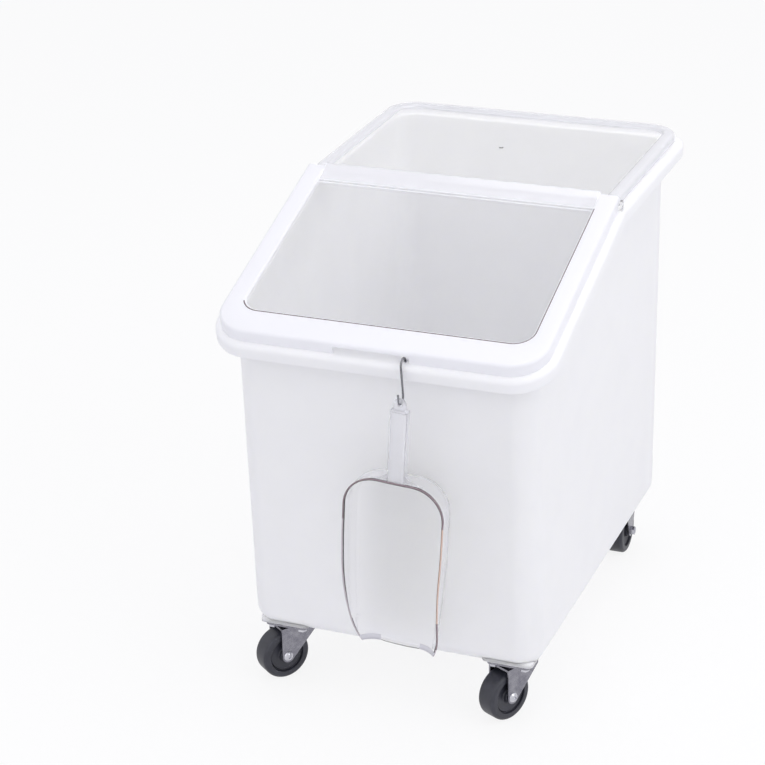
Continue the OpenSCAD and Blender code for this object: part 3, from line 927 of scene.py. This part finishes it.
@dataclass
class FrontLid(Piece):
    """The clear front lid with its skirt, sunk panel, brow and finger notch, in mm."""

    top: Top
    inset: float = 9.5
    skirt: float = 18.65
    sheet: float = 3
    edge_r: float = 5
    panel_half: float = 212
    panel_front: float = 339.5
    panel_r: float = 28
    panel_drop: float = 2
    front_stretch: float = 1.4
    brow_start: float = -32
    brow_end: float = 4
    brow_r: float = 164
    # Rows of the brow that get the milky white painted highlight
    brow_rows: int = 6
    notch_half: float = 56
    notch_h: float = 12
    crease_ys: Pair = (-32, -38)
    crease_h: float = 0.9
    crease_half: float = 1.5
    # Rows of the fill painted white along the creases as highlights
    painted_highlight_rows: tuple[int, ...] = (6, 7, 10, 11)
    corner_steps: int = 12
    # Column and stretch of places of the painted dark line at the panel's step, which stands in for
    # refraction shade
    shade_line_column: int = 10
    shade_line_end: int = 10
    ridge_ys: tuple[float, ...] = (
        0, -6, -12, -18, -24, -29, -30.5, -32, -33.5, -35, -36.5, -38, -39.5, -41, -44, -60,
    )
    side_shares: tuple[float, ...] = (0.35, 0.7)
    front_xs: tuple[float, ...] = (
        -150, -110, -80, -56, -55.9, -54.8, -52, -25, 0, 25, 52, 54.8, 55.9, 56, 80, 110, 150,
    )
    # Round corners of the notch: distance in from its side, and how far its edge is down there
    notch_steps: tuple[Pair, ...] = ((0.5, 4), (2, 1.2))
    # How far each ring of the panel's step lies outside the panel, and its share of the depth
    panel_steps: tuple[Pair, ...] = (
        (14, 0), (2.2, 0), (0.6, 0.15), (0, 0.5), (-0.6, 0.85), (-1.4, 1),
    )

    def at(self, x: float, y: float, z: float) -> Vector:
        """Places a point of the flat lid on the slant."""
        turned = Matrix.Rotation(math.radians(self.top.slant), 3, "X") @ Vector((x, y, z))
        return (turned + Vector((0, self.top.ridge_y, self.top.height))) * MM

    def spots(self, half: float, front: float, r: float) -> Profile:
        """Places round three sides of an outline.

        Args:
            half: half width.
            front: distance of the front side from the ridge.
            r: corner radius.

        Returns:
            Places from the ridge on the left to the ridge on the right.
        """
        turn = r - front
        last = self.ridge_ys[-1]
        left: Profile = [(-half, y) for y in self.ridge_ys]
        left += [(-half, last + (turn - last) * share) for share in self.side_shares]
        left += arc((r - half, turn), r, 180, 270, self.corner_steps)
        stretch = (half - r) / (self.top.half_w - self.top.rim_r)
        flat = [(x * stretch, -front) for x in self.front_xs]
        return left + flat + [(-x, y) for x, y in reversed(left)]

    def inner_z(self, y: float) -> float:
        """Height of the panel, its creases and the brow.

        Args:
            y: distance from the ridge.

        Returns:
            Height over the border.
        """
        z = -self.panel_drop
        if y > self.brow_start:
            run = y - self.brow_start + (self.brow_end if y > -1 else 0)
            z += self.brow_r - math.sqrt(self.brow_r**2 - run**2)
        near = min(abs(y - crease) for crease in self.crease_ys)
        return z + self.crease_h * max(0.0, 1 - near / self.crease_half)

    def hem(self, x: float, y: float) -> float:
        """Height of the skirt's lower edge, raised in the finger notch.

        Args:
            x: place across the lid.
            y: distance from the ridge.

        Returns:
            Height over the border.
        """
        inside = self.notch_half - abs(x)
        if y > -self.panel_front or inside < 0.05:
            return -self.skirt
        drop = next((low for reach, low in self.notch_steps if inside < reach), 0)
        return self.notch_h - self.skirt - drop

    def strips(self, under: float) -> list[Ring]:
        """Points from the hem over the border to the panel, for each place.

        Args:
            under: 0 for the upper side, or the sheet's thickness for the lower side.

        Returns:
            One strip for each place.
        """
        e = self.edge_r
        levels = [(under, -e)] + arc((e, -e), e - under, 180, 90, 6)
        sizes = (self.top.half_w, self.top.front, self.top.rim_r)
        border = [self.spots(*(size - self.inset - inset for size in sizes)) for inset, _ in levels]
        panel: list[Profile] = []
        for grow, _ in self.panel_steps:
            front = self.panel_front + grow * self.front_stretch
            panel.append(self.spots(self.panel_half + grow, front, self.panel_r + grow))
        strips: list[Ring] = []
        for i, outer in enumerate(border[0]):
            strip = [self.at(*outer, self.hem(*outer))]
            strip += [self.at(*ring[i], z) for ring, (_, z) in zip(border, levels)]
            for ring, (_, share) in zip(panel, self.panel_steps):
                x, y = ring[i]
                reach = share * self.brow_end if y > -1 else 0
                strip.append(self.at(x, y + reach, share * self.inner_z(y) - under))
            strips.append(strip)
        return strips

    def build(self) -> None:
        """Builds and dresses the lid, with a painted dark line at the panel's edge standing in for refraction
        shade, and creases painted white as highlights.
        """
        rows = len(self.ridge_ys) + len(self.side_shares) + self.corner_steps + 1
        sides = [self.strips(0), self.strips(self.sheet)]
        lid = sheet_u("front_lid_sheet", sides, rows, self.brow_rows)
        places = len(sides[0])
        across = len(sides[0][0]) - 1
        columns = places - 2 * rows + 1
        # Painted shade: one column of faces at the panel's step is dark, standing in for refraction shade
        for place in range(rows - self.shade_line_end, places - self.shade_line_end):
            lid.data.polygons[place * across + self.shade_line_column].material_index = 3
        # Painted highlight: the crease rows get the white border material, so they show as white lines
        for row in self.painted_highlight_rows:
            for k in range(columns):
                lid.data.polygons[(places - 1) * across + row * columns + k].material_index = 1
        looks = [self.finishes.lid, self.finishes.border, self.finishes.brow, self.finishes.seam]
        nodes = ("front_lid", "lid_runner_left", "lid_runner_right")
        settle(lid, "front_lid", "clear_polycarbonate", looks, *nodes)


@dataclass
class RearCover(Piece):
    """The clear fixed cover over the rear half and the two saddles at the ridge, in mm."""

    top: Top
    inset: float = 13.6
    hem: float = 18.65
    bead_depth: float = 5.4
    bead_in: float = 33.2
    bead_r: float = 6
    tray: float = 10
    sheet: float = 3
    start: float = 2
    notch: float = 13
    notch_in: float = 18
    side_vs: tuple[float, ...] = (16, 40, 150, 240)
    rear_shares: tuple[float, ...] = (0.7, 0.35, 0, -0.35, -0.7)
    corner_steps: int = 14
    # Steps from the bead's foot into the tray: further in, and over the tray
    tray_steps: tuple[Pair, ...] = ((0.4, 0.5), (1.6, 0))
    # Radius and height of the mark that the mould's gate leaves
    gate_steps: tuple[Pair, ...] = (
        (3.4, -0.3), (3.2, 0.25), (2.6, 0.5), (1.6, 0.45), (1.2, 0.1),
    )
    saddle_edge: float = 0.7

    def spots(self, inset: float) -> Profile:
        """Places round three sides of the cover.

        Args:
            inset: distance in from the rim's outer edge.

        Returns:
            Places from the ridge on the right to the ridge on the left.
        """
        half = self.top.half_w - inset
        rear = self.top.rear - inset
        r = self.top.rim_r - inset
        first = self.notch if inset < self.notch_in else self.start
        side: Profile = [(half, v) for v in (first, *self.side_vs)]
        side += arc((half - r, rear - r), r, 0, 90, self.corner_steps)
        flat = [((half - r) * share, rear) for share in self.rear_shares]
        return side + flat + [(-x, v) for x, v in reversed(side)]

    def strips(self, under: float) -> list[Ring]:
        """Points from the hem over the bead to the tray, for each place.

        Args:
            under: 0 for the upper side, or the sheet's thickness for the lower side.

        Returns:
            One strip for each place.
        """
        r = self.bead_r
        top = self.bead_depth + r
        path = [(self.inset + under, self.hem), (self.inset + under, top)]
        path += [(x, top - y) for x, y in arc((self.inset + r, 0), r - under, 180, 90, 6)]
        path += [(x, top - y) for x, y in arc((self.bead_in - r, 0), r - under, 90, 24, 5)]
        path += [(self.bead_in + x - under, self.tray - y + under) for x, y in self.tray_steps]
        rings = [self.spots(inset) for inset, _ in path]
        base = Vector((0, self.top.ridge_y, self.top.height))
        return [
            [(base + Vector((*ring[i], -depth))) * MM for ring, (_, depth) in zip(rings, path)]
            for i in range(len(rings[0]))
        ]

    def gate(self) -> Object:
        """The small round mark that the mould's gate leaves.

        Returns:
            The mark in the middle of the tray.
        """
        centre = Vector((0, self.top.rear / 2 + self.top.ridge_y, self.top.height - self.tray))
        rings = [
            [(centre + Vector((x, y, lift))) * MM for x, y in circle(r, 24)] for r, lift in self.gate_steps
        ]
        return skin("gate_mark", rings)

    def build(self) -> None:
        """Builds the cover, rounds the saddles and dresses them."""
        rows = len(self.side_vs) + self.corner_steps + 2
        sheet = sheet_u("rear_cover_sheet", [self.strips(0), self.strips(self.sheet)], rows)
        looks = [self.finishes.lid, self.finishes.cover_edge]
        settle(sheet, "bin", "clear_polycarbonate", looks, "rear_cover")
        settle(self.gate(), "bin", "clear_polycarbonate", [self.finishes.lid])
        for side in Side:
            dress_node(f"lid_guide_{side.name.lower()}", self.finishes.lid, self.saddle_edge)


@dataclass
class WireHook(Piece):
    """The bent wire hook in the front rim, in mm from the middle of its upper bend."""

    wire: float = 3
    bend: float = 9
    shank: float = 41
    tail_deg: float = 40
    tip: float = 8
    sway: float = 1.3
    sides: int = 14
    end_round: float = 0.5
    upper: Vector = field(default_factory=lambda: Vector((0.049, -0.3561155, 0.5723515)))

    def path(self) -> list[Triple]:
        """Middle line of the wire.

        Returns:
            Points from its tail over the rim to its tip.
        """
        b = self.bend
        line = arc((0, 0), b, -self.tail_deg, 180, 22)
        line += [(-b, -self.shank * t) for t in (0.25, 0.5, 0.75)]
        line += arc((-2 * b, -self.shank), b, 0, -180, 20)
        line += [(-3 * b, -self.shank + self.tip * t) for t in (0.5, 1.0)]
        half = self.shank / 2
        return [(self.sway * max(-1.0, min(1.0, -z / half - 1)), y, z) for y, z in line]

    def build(self) -> None:
        """Builds and dresses the hook."""
        line = [self.upper + Vector(p) * MM for p in self.path()]
        hook = tube("bent_wire_hook", line, self.wire / 2 * MM, self.sides, Vector((1, 0, 0)), 90)
        bevel(hook, self.end_round, 50)
        settle(hook, "hook", "steel_wire", [self.finishes.wire], "s_hook")


@dataclass
class Scoop(Piece):
    """The hanging scoop, in mm from its eye, leant sideways on the hook."""

    lean: float = 3.5
    sheet: float = 1.4
    bowl_top: float = -115
    bowl_len: float = 280
    half: float = 73
    lip_half: float = 61
    taper_share: float = 0.34
    corner_r: float = 46
    corner_steps: int = 14
    rim_y: float = -11
    depth: float = 58
    fall: float = 46
    fall_len: float = 150
    lip_bulge: float = 8
    bulge_share: float = 0.6
    bead_d: float = 2.2
    bead_sides: int = 10
    # Places of the bead painted pale and amber as edge light; between them it is painted dark as edge shade
    pale_ends: tuple[int, int] = (27, 3)
    amber_span: tuple[int, int] = (30, 10)
    side_r: float = 32
    end_r: float = 26
    rows: int = 30
    columns: int = 12
    wall_steps: int = 5
    round_steps: int = 9
    grip_w: float = 25
    grip_d: float = 15
    grip_r: float = 3.75
    grip_inner_r: float = 2.15
    grip_top: float = -9
    tab_r: float = 9
    tab_t: float = 4
    tab_sides: int = 48
    tab_widen: float = 1.6
    eye_r: float = 3
    web_w: float = 26
    web_h: float = 10
    web_foot: float = 3
    edge_round: float = 0.5
    eye: Vector = field(default_factory=lambda: Vector((0.049, -0.3741155, 0.521302)))

    def put(self, x: float, y: float, z: float) -> Vector:
        """Places a point of the scoop in the shared frame.

        Args:
            x: distance to the right of the eye.
            y: distance behind it.
            z: height over it.

        Returns:
            The point in metres.
        """
        a = math.radians(self.lean)
        turned = Vector((x * math.cos(a) + z * math.sin(a), y, z * math.cos(a) - x * math.sin(a)))
        return self.eye + turned * MM

    def half_at(self, s: float) -> float:
        """Half width of the bowl.

        Args:
            s: distance from its upper end.

        Returns:
            The half width there.
        """
        start = self.bowl_len * self.taper_share
        t = max(0.0, (s - start) / (self.bowl_len - start))
        return self.half + (self.lip_half - self.half) * (0.65 * t * t + 0.35 * t)

    def rim_fall(self, s: float) -> float:
        """How far the rim has fallen back at a distance from the upper end."""
        t = max(0.0, s - (self.bowl_len - self.fall_len)) / self.fall_len
        return self.fall * t * t * (1.25 - 0.25 * t)

    def outline(self) -> list[tuple[float, float, float, float]]:
        """The rim seen from the front, from the left lip over the top to the right lip.

        Returns:
            Point x and s, and the inward direction in x and s.
        """
        left: list[tuple[float, float, float, float]] = []
        r = self.corner_r
        for i in range(self.rows):
            s = self.bowl_len + (r - self.bowl_len) * i / self.rows
            slope = (self.half_at(s - 1) - self.half_at(s + 1)) / 2
            size = math.hypot(1, slope)
            left.append((-self.half_at(s), s, 1 / size, -slope / size))
        for x, s in arc((r - self.half, r), r, 180, 270, self.corner_steps):
            left.append((x, s, (r - self.half - x) / r, (r - s) / r))
        span = self.half - r
        flat = [(-span + 2 * span * i / self.columns, 0.0, 0.0, 1.0) for i in range(1, self.columns)]
        right = [(-x, s, -dx, ds) for x, s, dx, ds in reversed(left)]
        return left + flat + right

    def strips(self) -> list[Ring]:
        """The bowl's inside.

        Returns:
            Points from the rim down the wall and round to the back, for each place of the outline.
        """
        strips: list[Ring] = []
        for x, s, dx, ds in self.outline():
            r = self.side_r * abs(dx) + self.end_r * (1 - abs(dx))
            fall = self.rim_fall(s)
            straight = self.depth - r
            start = 0.0
            steps = self.round_steps
            path: Profile = []
            if fall < straight:
                share = (straight - fall) / self.wall_steps
                path = [(0.0, fall + share * k) for k in range(self.wall_steps)]
            else:
                start = math.degrees(math.asin((fall - straight) / r))
                steps += self.wall_steps
            path += [(r - i, straight + d) for i, d in arc((0, 0), r, start, 90, steps)]
            strips.append(
                [self.put(x + dx * i, self.rim_y + d, self.bowl_top - s - ds * i) for i, d in path]
            )
        return strips

    def bowl(self, strips: list[Ring]) -> Object:
        """The bowl as a sheet.

        Args:
            strips: its points for each place of the outline.

        Returns:
            The sheet, with another material on the worn ends of its lip.
        """
        bowl = sheet_u("scoop_bowl", [strips], self.rows + self.corner_steps + 1)
        ends = (0, len(strips) - 2)
        across = len(strips[0]) - 1
        for face in bowl.data.polygons:
            face.material_index = 1 if face.index // across in ends else 0
        return bowl

    def bead(self, rim: Ring) -> Object:
        """The round edge along the rim, with painted light and shade where light runs along the sheet.

        Args:
            rim: the points of the rim, from the left lip to the right lip.

        Returns:
            The bead, with pale, dark and amber stretches.
        """
        r = self.bead_d / 2 * MM
        back = Vector((0, 1, 0))
        bead = tube("scoop_bead", [p + back * r for p in rim], r, self.bead_sides, back)
        # Painted light and shade: pale, dark and amber stretches stand in for light running along and out of
        # the sheet's edge
        dark = range(self.pale_ends[0], len(rim) - self.pale_ends[1])
        amber = range(len(rim) - self.amber_span[0], len(rim) - self.amber_span[1])
        for face in bead.data.polygons:
            place = face.index // self.bead_sides
            face.material_index = 2 if place in amber else 1 if place in dark else 0
        return bead

    def bulge(self, piece: Object) -> None:
        """Draws the middle of the lip out, so that its edge is a shallow curve.

        Args:
            piece: the bowl or its bead.
        """
        a = math.radians(self.lean)
        start = self.bowl_len * self.bulge_share
        for corner in piece.data.vertices:
            spot = (corner.co - self.eye) / MM
            x = spot.x * math.cos(a) - spot.z * math.sin(a)
            z = spot.z * math.cos(a) + spot.x * math.sin(a)
            t = max(0.0, (self.bowl_top - z - start) / (self.bowl_len - start))
            out = self.lip_bulge * t * t * (1 - (x / self.half) ** 2)
            corner.co -= Vector((math.sin(a), 0, math.cos(a))) * out * MM

    def grip(self) -> Object:
        """The channel handle.

        Returns:
            The handle, open at the back and closed at its upper end.
        """
        w = self.grip_w / 2
        d = self.grip_d / 2
        t = self.sheet
        r = self.grip_r
        q = self.grip_inner_r
        outer = [(w, d)]
        outer += arc((w - r, r - d), r, 0, -90, 5)
        outer += arc((r - w, r - d), r, -90, -180, 5)
        outer += [(-w, d)]
        inner = [(t - w, d)]
        inner += arc((t + q - w, t + q - d), q, 180, 270, 4)
        inner += arc((w - t - q, t + q - d), q, 270, 360, 4)
        inner += [(w - t, d)]
        top = self.grip_top
        levels = (self.bowl_top - 1, self.bowl_top + 20, top - t)
        channel = [[self.put(x, y, z) for x, y in outer + inner] for z in levels]
        cap = [[self.put(x, y, z) for x, y in outer] for z in (top - t, top)]
        return join("scoop_grip", [skin("scoop_grip", channel), skin("grip_end", cap)])

    def tab(self) -> Object:
        """The hanging tab, whose lower half widens to the handle.

        Returns:
            The tab with its eye.
        """
        drop = (abs(self.grip_top) + 0.5) / self.tab_r
        outline: Profile = []
        for x, z in circle(self.tab_r, self.tab_sides):
            wide = math.copysign(min(self.tab_r, abs(x) * self.tab_widen), x)
            outline.append((x, z) if z >= 0 else (wide, z * drop))
        eye = circle(self.eye_r, self.tab_sides)
        face = self.tab_t / 2
        levels = ((outline, -face), (eye, -face), (eye, face), (outline, face))
        rings = [[self.put(x, y, z) for x, z in ring] for ring, y in levels]
        return skin("scoop_tab", rings, loop=True)

    def gusset(self, side: Side) -> Object:
        """A thin web between the handle's foot and the bowl's end.

        Args:
            side: the side of the handle.

        Returns:
            The web.
        """
        near = self.grip_w / 2 - 0.5
        far = near + self.web_w
        foot = self.web_foot
        rim = [(near, -1.0), (far, -foot - 2), (far, -foot)]
        rim += [(far - self.web_w * t, (self.web_h + foot) * t * t - foot) for t in (0.3, 0.6, 0.85)]
        rim += [(near, self.web_h)]
        rings = [
            [self.put(side.value * x, y, self.bowl_top + z) for x, z in rim]
            for y in (-self.sheet / 2, self.sheet / 2)
        ]
        return skin("scoop_gusset", rings)

    def build(self) -> None:
        """Builds and dresses the bowl, its bead and the handle."""
        strips = self.strips()
        bowl = self.bowl(strips)
        bead = self.bead([strip[0] for strip in strips])
        self.bulge(bowl)
        self.bulge(bead)
        step = bowl.modifiers.new("sheet", "SOLIDIFY")
        step.thickness = self.sheet * MM
        step.offset = -1
        step.use_even_offset = True
        settle(bowl, "scoop", "clear_scoop", [self.finishes.scoop, self.finishes.lip], "scoop")
        edge_light_looks = [self.finishes.edge_light_pale, self.finishes.edge, self.finishes.edge_light_amber]
        settle(bead, "scoop", "clear_scoop", edge_light_looks)
        webs = [self.gusset(side) for side in Side]
        handle = join("scoop_handle", [self.grip(), self.tab(), *webs])
        sharpen(handle, 40)
        bevel(handle, self.edge_round, 40)
        even_normals(handle)
        settle(handle, "scoop", "clear_scoop", [self.finishes.grip])


@dataclass
class Fixings(Piece):
    """The bolts and inserts of the caster plates."""

    edge_round: float = 0.5

    def build(self) -> None:
        """Dresses the CAD nodes."""
        dress_node("caster_bolts", self.finishes.bright, self.edge_round)
        dress_node("caster_inserts", self.finishes.brass)


@dataclass
class Caster(Piece):
    """One caster: plate, fork, bolts and a lathe-turned wheel, in mm."""

    place: CasterPlace
    wheel_r: float = 38
    width: float = 31
    tread_r: float = 6
    hub_r: float = 11
    hub_w: float = 33
    hub_round: float = 1.2
    hub_foot: float = 2
    bore: float = 6.5
    bore_edge: float = 0.8
    web_r: float = 27
    web_foot: float = 1.2
    web_edge: float = 1
    dish: float = 5
    bead_at: float = 24
    bead_r: float = 2
    bead_sunk: float = 0.4
    turns: int = 96
    swivel_rounds: tuple[tuple[str, float], ...] = (("plate", 0.7), ("king_pin", 0.6))
    fork_round: float = 0.8
    bolt_round: float = 0.5

    def profile(self) -> Profile:
        """Half section of the wheel, from the bore outwards.

        Returns:
            Radius and place along the axle.
        """
        hub = self.hub_w / 2
        wide = self.width / 2
        web = wide - self.dish
        side: Profile = [(self.bore, hub - self.bore_edge), (self.bore + self.bore_edge, hub)]
        side += arc((self.hub_r - self.hub_round, hub - self.hub_round), self.hub_round, 90, 0, 3)
        side += arc((self.hub_r + self.hub_foot, web + self.hub_foot), self.hub_foot, 180, 270, 4)
        side += arc((self.bead_at, web - self.bead_sunk), self.bead_r, 150, 30, 6)
        side += arc((self.web_r - self.web_foot, web + self.web_foot), self.web_foot, 270, 360, 3)
        side += arc((self.web_r + self.web_edge, wide - self.web_edge), self.web_edge, 180, 90, 3)
        side += arc((self.wheel_r - self.tread_r, wide - self.tread_r), self.tread_r, 80, 12, 7)
        return side + [(self.wheel_r, wide * share) for share in (0.4, 0.12)]

    def wheel(self) -> None:
        """Turns the wheel about its axle."""
        name = f"wheel_{self.place.value}"
        joint = next(j for j in frame["joints"] if j["name"] == f"wheel_spin_{self.place.value}")
        along = Vector(joint["axis"]).normalized()
        centre = Vector(joint["pos_m"])
        up = Vector((0, 0, 1))
        ahead = up.cross(along)
        half = self.profile()
        rings: list[Ring] = []
        for r, x in half + [(r, -x) for r, x in reversed(half)]:
            spots = circle(r, self.turns)
            rings.append([centre + (along * x + up * high + ahead * far) * MM for high, far in spots])
        obj = skin(f"{name}_turned", rings, loop=True)
        sharpen(obj)
        even_normals(obj)
        settle(obj, name, "wheel_grey", [self.finishes.wheel], name)

    def build(self) -> None:
        """Builds the wheel and dresses the steel pieces."""
        code = self.place.value
        self.wheel()
        dress_node(f"fork_{code}", self.finishes.zinc, self.fork_round)
        for stem in ("axle", "axle_nut"):
            dress_node(f"{stem}_{code}", self.finishes.bright, self.bolt_round)
        dress_node(f"bush_{code}", self.finishes.nylon)
        if self.place in (CasterPlace.FRONT_LEFT, CasterPlace.FRONT_RIGHT):
            for stem, width in self.swivel_rounds:
                dress_node(f"{stem}_{code}", self.finishes.zinc, width)
            dress_node(f"balls_{code}", self.finishes.ball)


# Studio


@dataclass(frozen=True)
class Lamp:
    """A soft square lamp that faces the bin, with its place and side in metres and its power in watts."""

    name: str
    spot: Triple
    power: float
    size: float
    aim: Triple = (0, 0, 0.35)

    def hang(self) -> None:
        """Puts the lamp in the scene."""
        data = bpy.data.lights.new(self.name, "AREA")
        data.energy = self.power
        data.size = self.size
        obj = bpy.data.objects.new(self.name, data)
        obj.location = self.spot
        obj.rotation_euler = (Vector(self.aim) - Vector(self.spot)).to_track_quat("-Z", "Y").to_euler()
        bpy.context.scene.collection.objects.link(obj)


@dataclass
class Studio:
    """Pale floor, soft lamps, white surround and the camera."""

    floor_half: float = 6.0
    floor_colour: str = "F2F2F4"
    floor_grain_mm: float = 1000 / 120
    floor_rough: Pair = (0.7, 0.85)
    floor_white: float = 0.86
    ambient_colour: str = "F4F4FC"
    ambient: float = 0.74
    eye_mm: Triple = (1138.43, -3172.09, 1869.43)
    yaw: float = 22.64
    pitch: float = 21.84
    roll: float = -1.56
    focal_px: float = 2444.35
    centre_px: Pair = (344.02, 306.0)
    image_px: float = 765
    sensor_mm: float = 36
    lamps: tuple[Lamp, ...] = (
        Lamp("key_lamp", (3.0, -1.0, 2.6), 32, 2.4),
        Lamp("fill_lamp", (-1.2, -3.6, 2.2), 27, 4.0),
        Lamp("top_lamp", (0.6, 0.35, 3.6), 29, 2.6),
    )

    def white_to_eye(self, tree: Tree) -> Socket:
        """How much of a surface is shown plain white: to camera, glossy and transmitted rays.

        Args:
            tree: the node tree to add to.

        Returns:
            A socket that is 1 for those rays.
        """
        path = add_node(tree, "LightPath").outputs
        rays = {0: path["Is Camera Ray"], 1: path["Is Glossy Ray"]}
        seen = add_node(tree, "Math", rays, "MAXIMUM").outputs["Value"]
        rays = {0: seen, 1: path["Is Transmission Ray"]}
        return add_node(tree, "Math", rays, "MAXIMUM").outputs["Value"]

    def floor(self) -> None:
        """Lays the pale floor, which keeps a soft shadow."""
        h = self.floor_half
        corners = [Vector((x, y, 0)) for x, y in ((-h, -h), (h, -h), (h, h), (-h, h))]
        obj = new_object("studio_floor", corners, [(0, 1, 2, 3)])
        recipe = Recipe("pale_studio_floor")
        rough = recipe.between(recipe.noise(self.floor_grain_mm, 2), self.floor_rough)
        paper = recipe.principled({"Base Color": linear(self.floor_colour), "Roughness": rough})
        glow = add_node(recipe.tree, "Emission", {"Color": (1, 1, 1, 1), "Strength": 1.0})
        white = {0: self.white_to_eye(recipe.tree), 1: self.floor_white}
        share = add_node(recipe.tree, "Math", white, "MULTIPLY").outputs["Value"]
        dress(obj, recipe.done(recipe.mix(share, paper, glow.outputs["Emission"])))

    def surround(self) -> None:
        """Sets a soft surround that is plain white to the eye."""
        world = bpy.data.worlds.new("white_surround")
        world.use_nodes = True
        tree = world.node_tree
        tree.nodes.clear()
        lit = add_node(tree, "Background", {"Color": linear(self.ambient_colour), "Strength": self.ambient})
        seen = add_node(tree, "Background", {"Color": (1, 1, 1, 1), "Strength": 1.0})
        shaders = {1: lit.outputs["Background"], 2: seen.outputs["Background"]}
        both = add_node(tree, "MixShader", {"Fac": self.white_to_eye(tree)} | shaders)
        add_node(tree, "OutputWorld", {"Surface": both.outputs["Shader"]})
        bpy.context.scene.world = world

    def camera(self) -> None:
        """Sets the camera where the fitted view was taken from."""
        yaw = math.radians(self.yaw)
        pitch = math.radians(self.pitch)
        roll = math.radians(self.roll)
        look = Vector((-math.sin(yaw) * math.cos(pitch), math.cos(yaw) * math.cos(pitch), -math.sin(pitch)))
        right = look.cross(Vector((0, 0, 1))).normalized()
        up = right.cross(look)
        tilted = right * math.cos(roll) + up * math.sin(roll)
        upright = up * math.cos(roll) - right * math.sin(roll)
        data = bpy.data.cameras.new("camera")
        data.sensor_width = self.sensor_mm
        data.lens = self.focal_px / self.image_px * self.sensor_mm
        data.shift_x = (self.image_px / 2 - self.centre_px[0]) / self.image_px
        data.shift_y = (self.centre_px[1] - self.image_px / 2) / self.image_px
        data.clip_end = 50
        obj = bpy.data.objects.new("camera", data)
        turn = Matrix((tilted, upright, -look)).transposed().to_4x4()
        obj.matrix_world = Matrix.Translation(Vector(self.eye_mm) * MM) @ turn
        bpy.context.scene.collection.objects.link(obj)
        bpy.context.scene.camera = obj

    def build(self) -> None:
        """Builds the whole studio."""
        bpy.context.scene.view_settings.view_transform = "Standard"
        self.camera()
        self.floor()
        self.surround()
        for lamp in self.lamps:
            lamp.hang()


def main() -> None:
    """Builds every piece in order and reports it."""
    logging.basicConfig(level=logging.INFO, format="%(message)s")
    Studio().build()
    finishes = Finishes()
    top = Top()
    pieces: list[Piece] = [Tub(finishes, top), FrontLid(finishes, top), RearCover(finishes, top)]
    pieces += [WireHook(finishes), Scoop(finishes), Fixings(finishes)]
    pieces += [Caster(finishes, place) for place in CasterPlace]
    for piece in pieces:
        piece.build()
        log.info("%s done", type(piece).__name__)


if __name__ == "__main__":
    main()
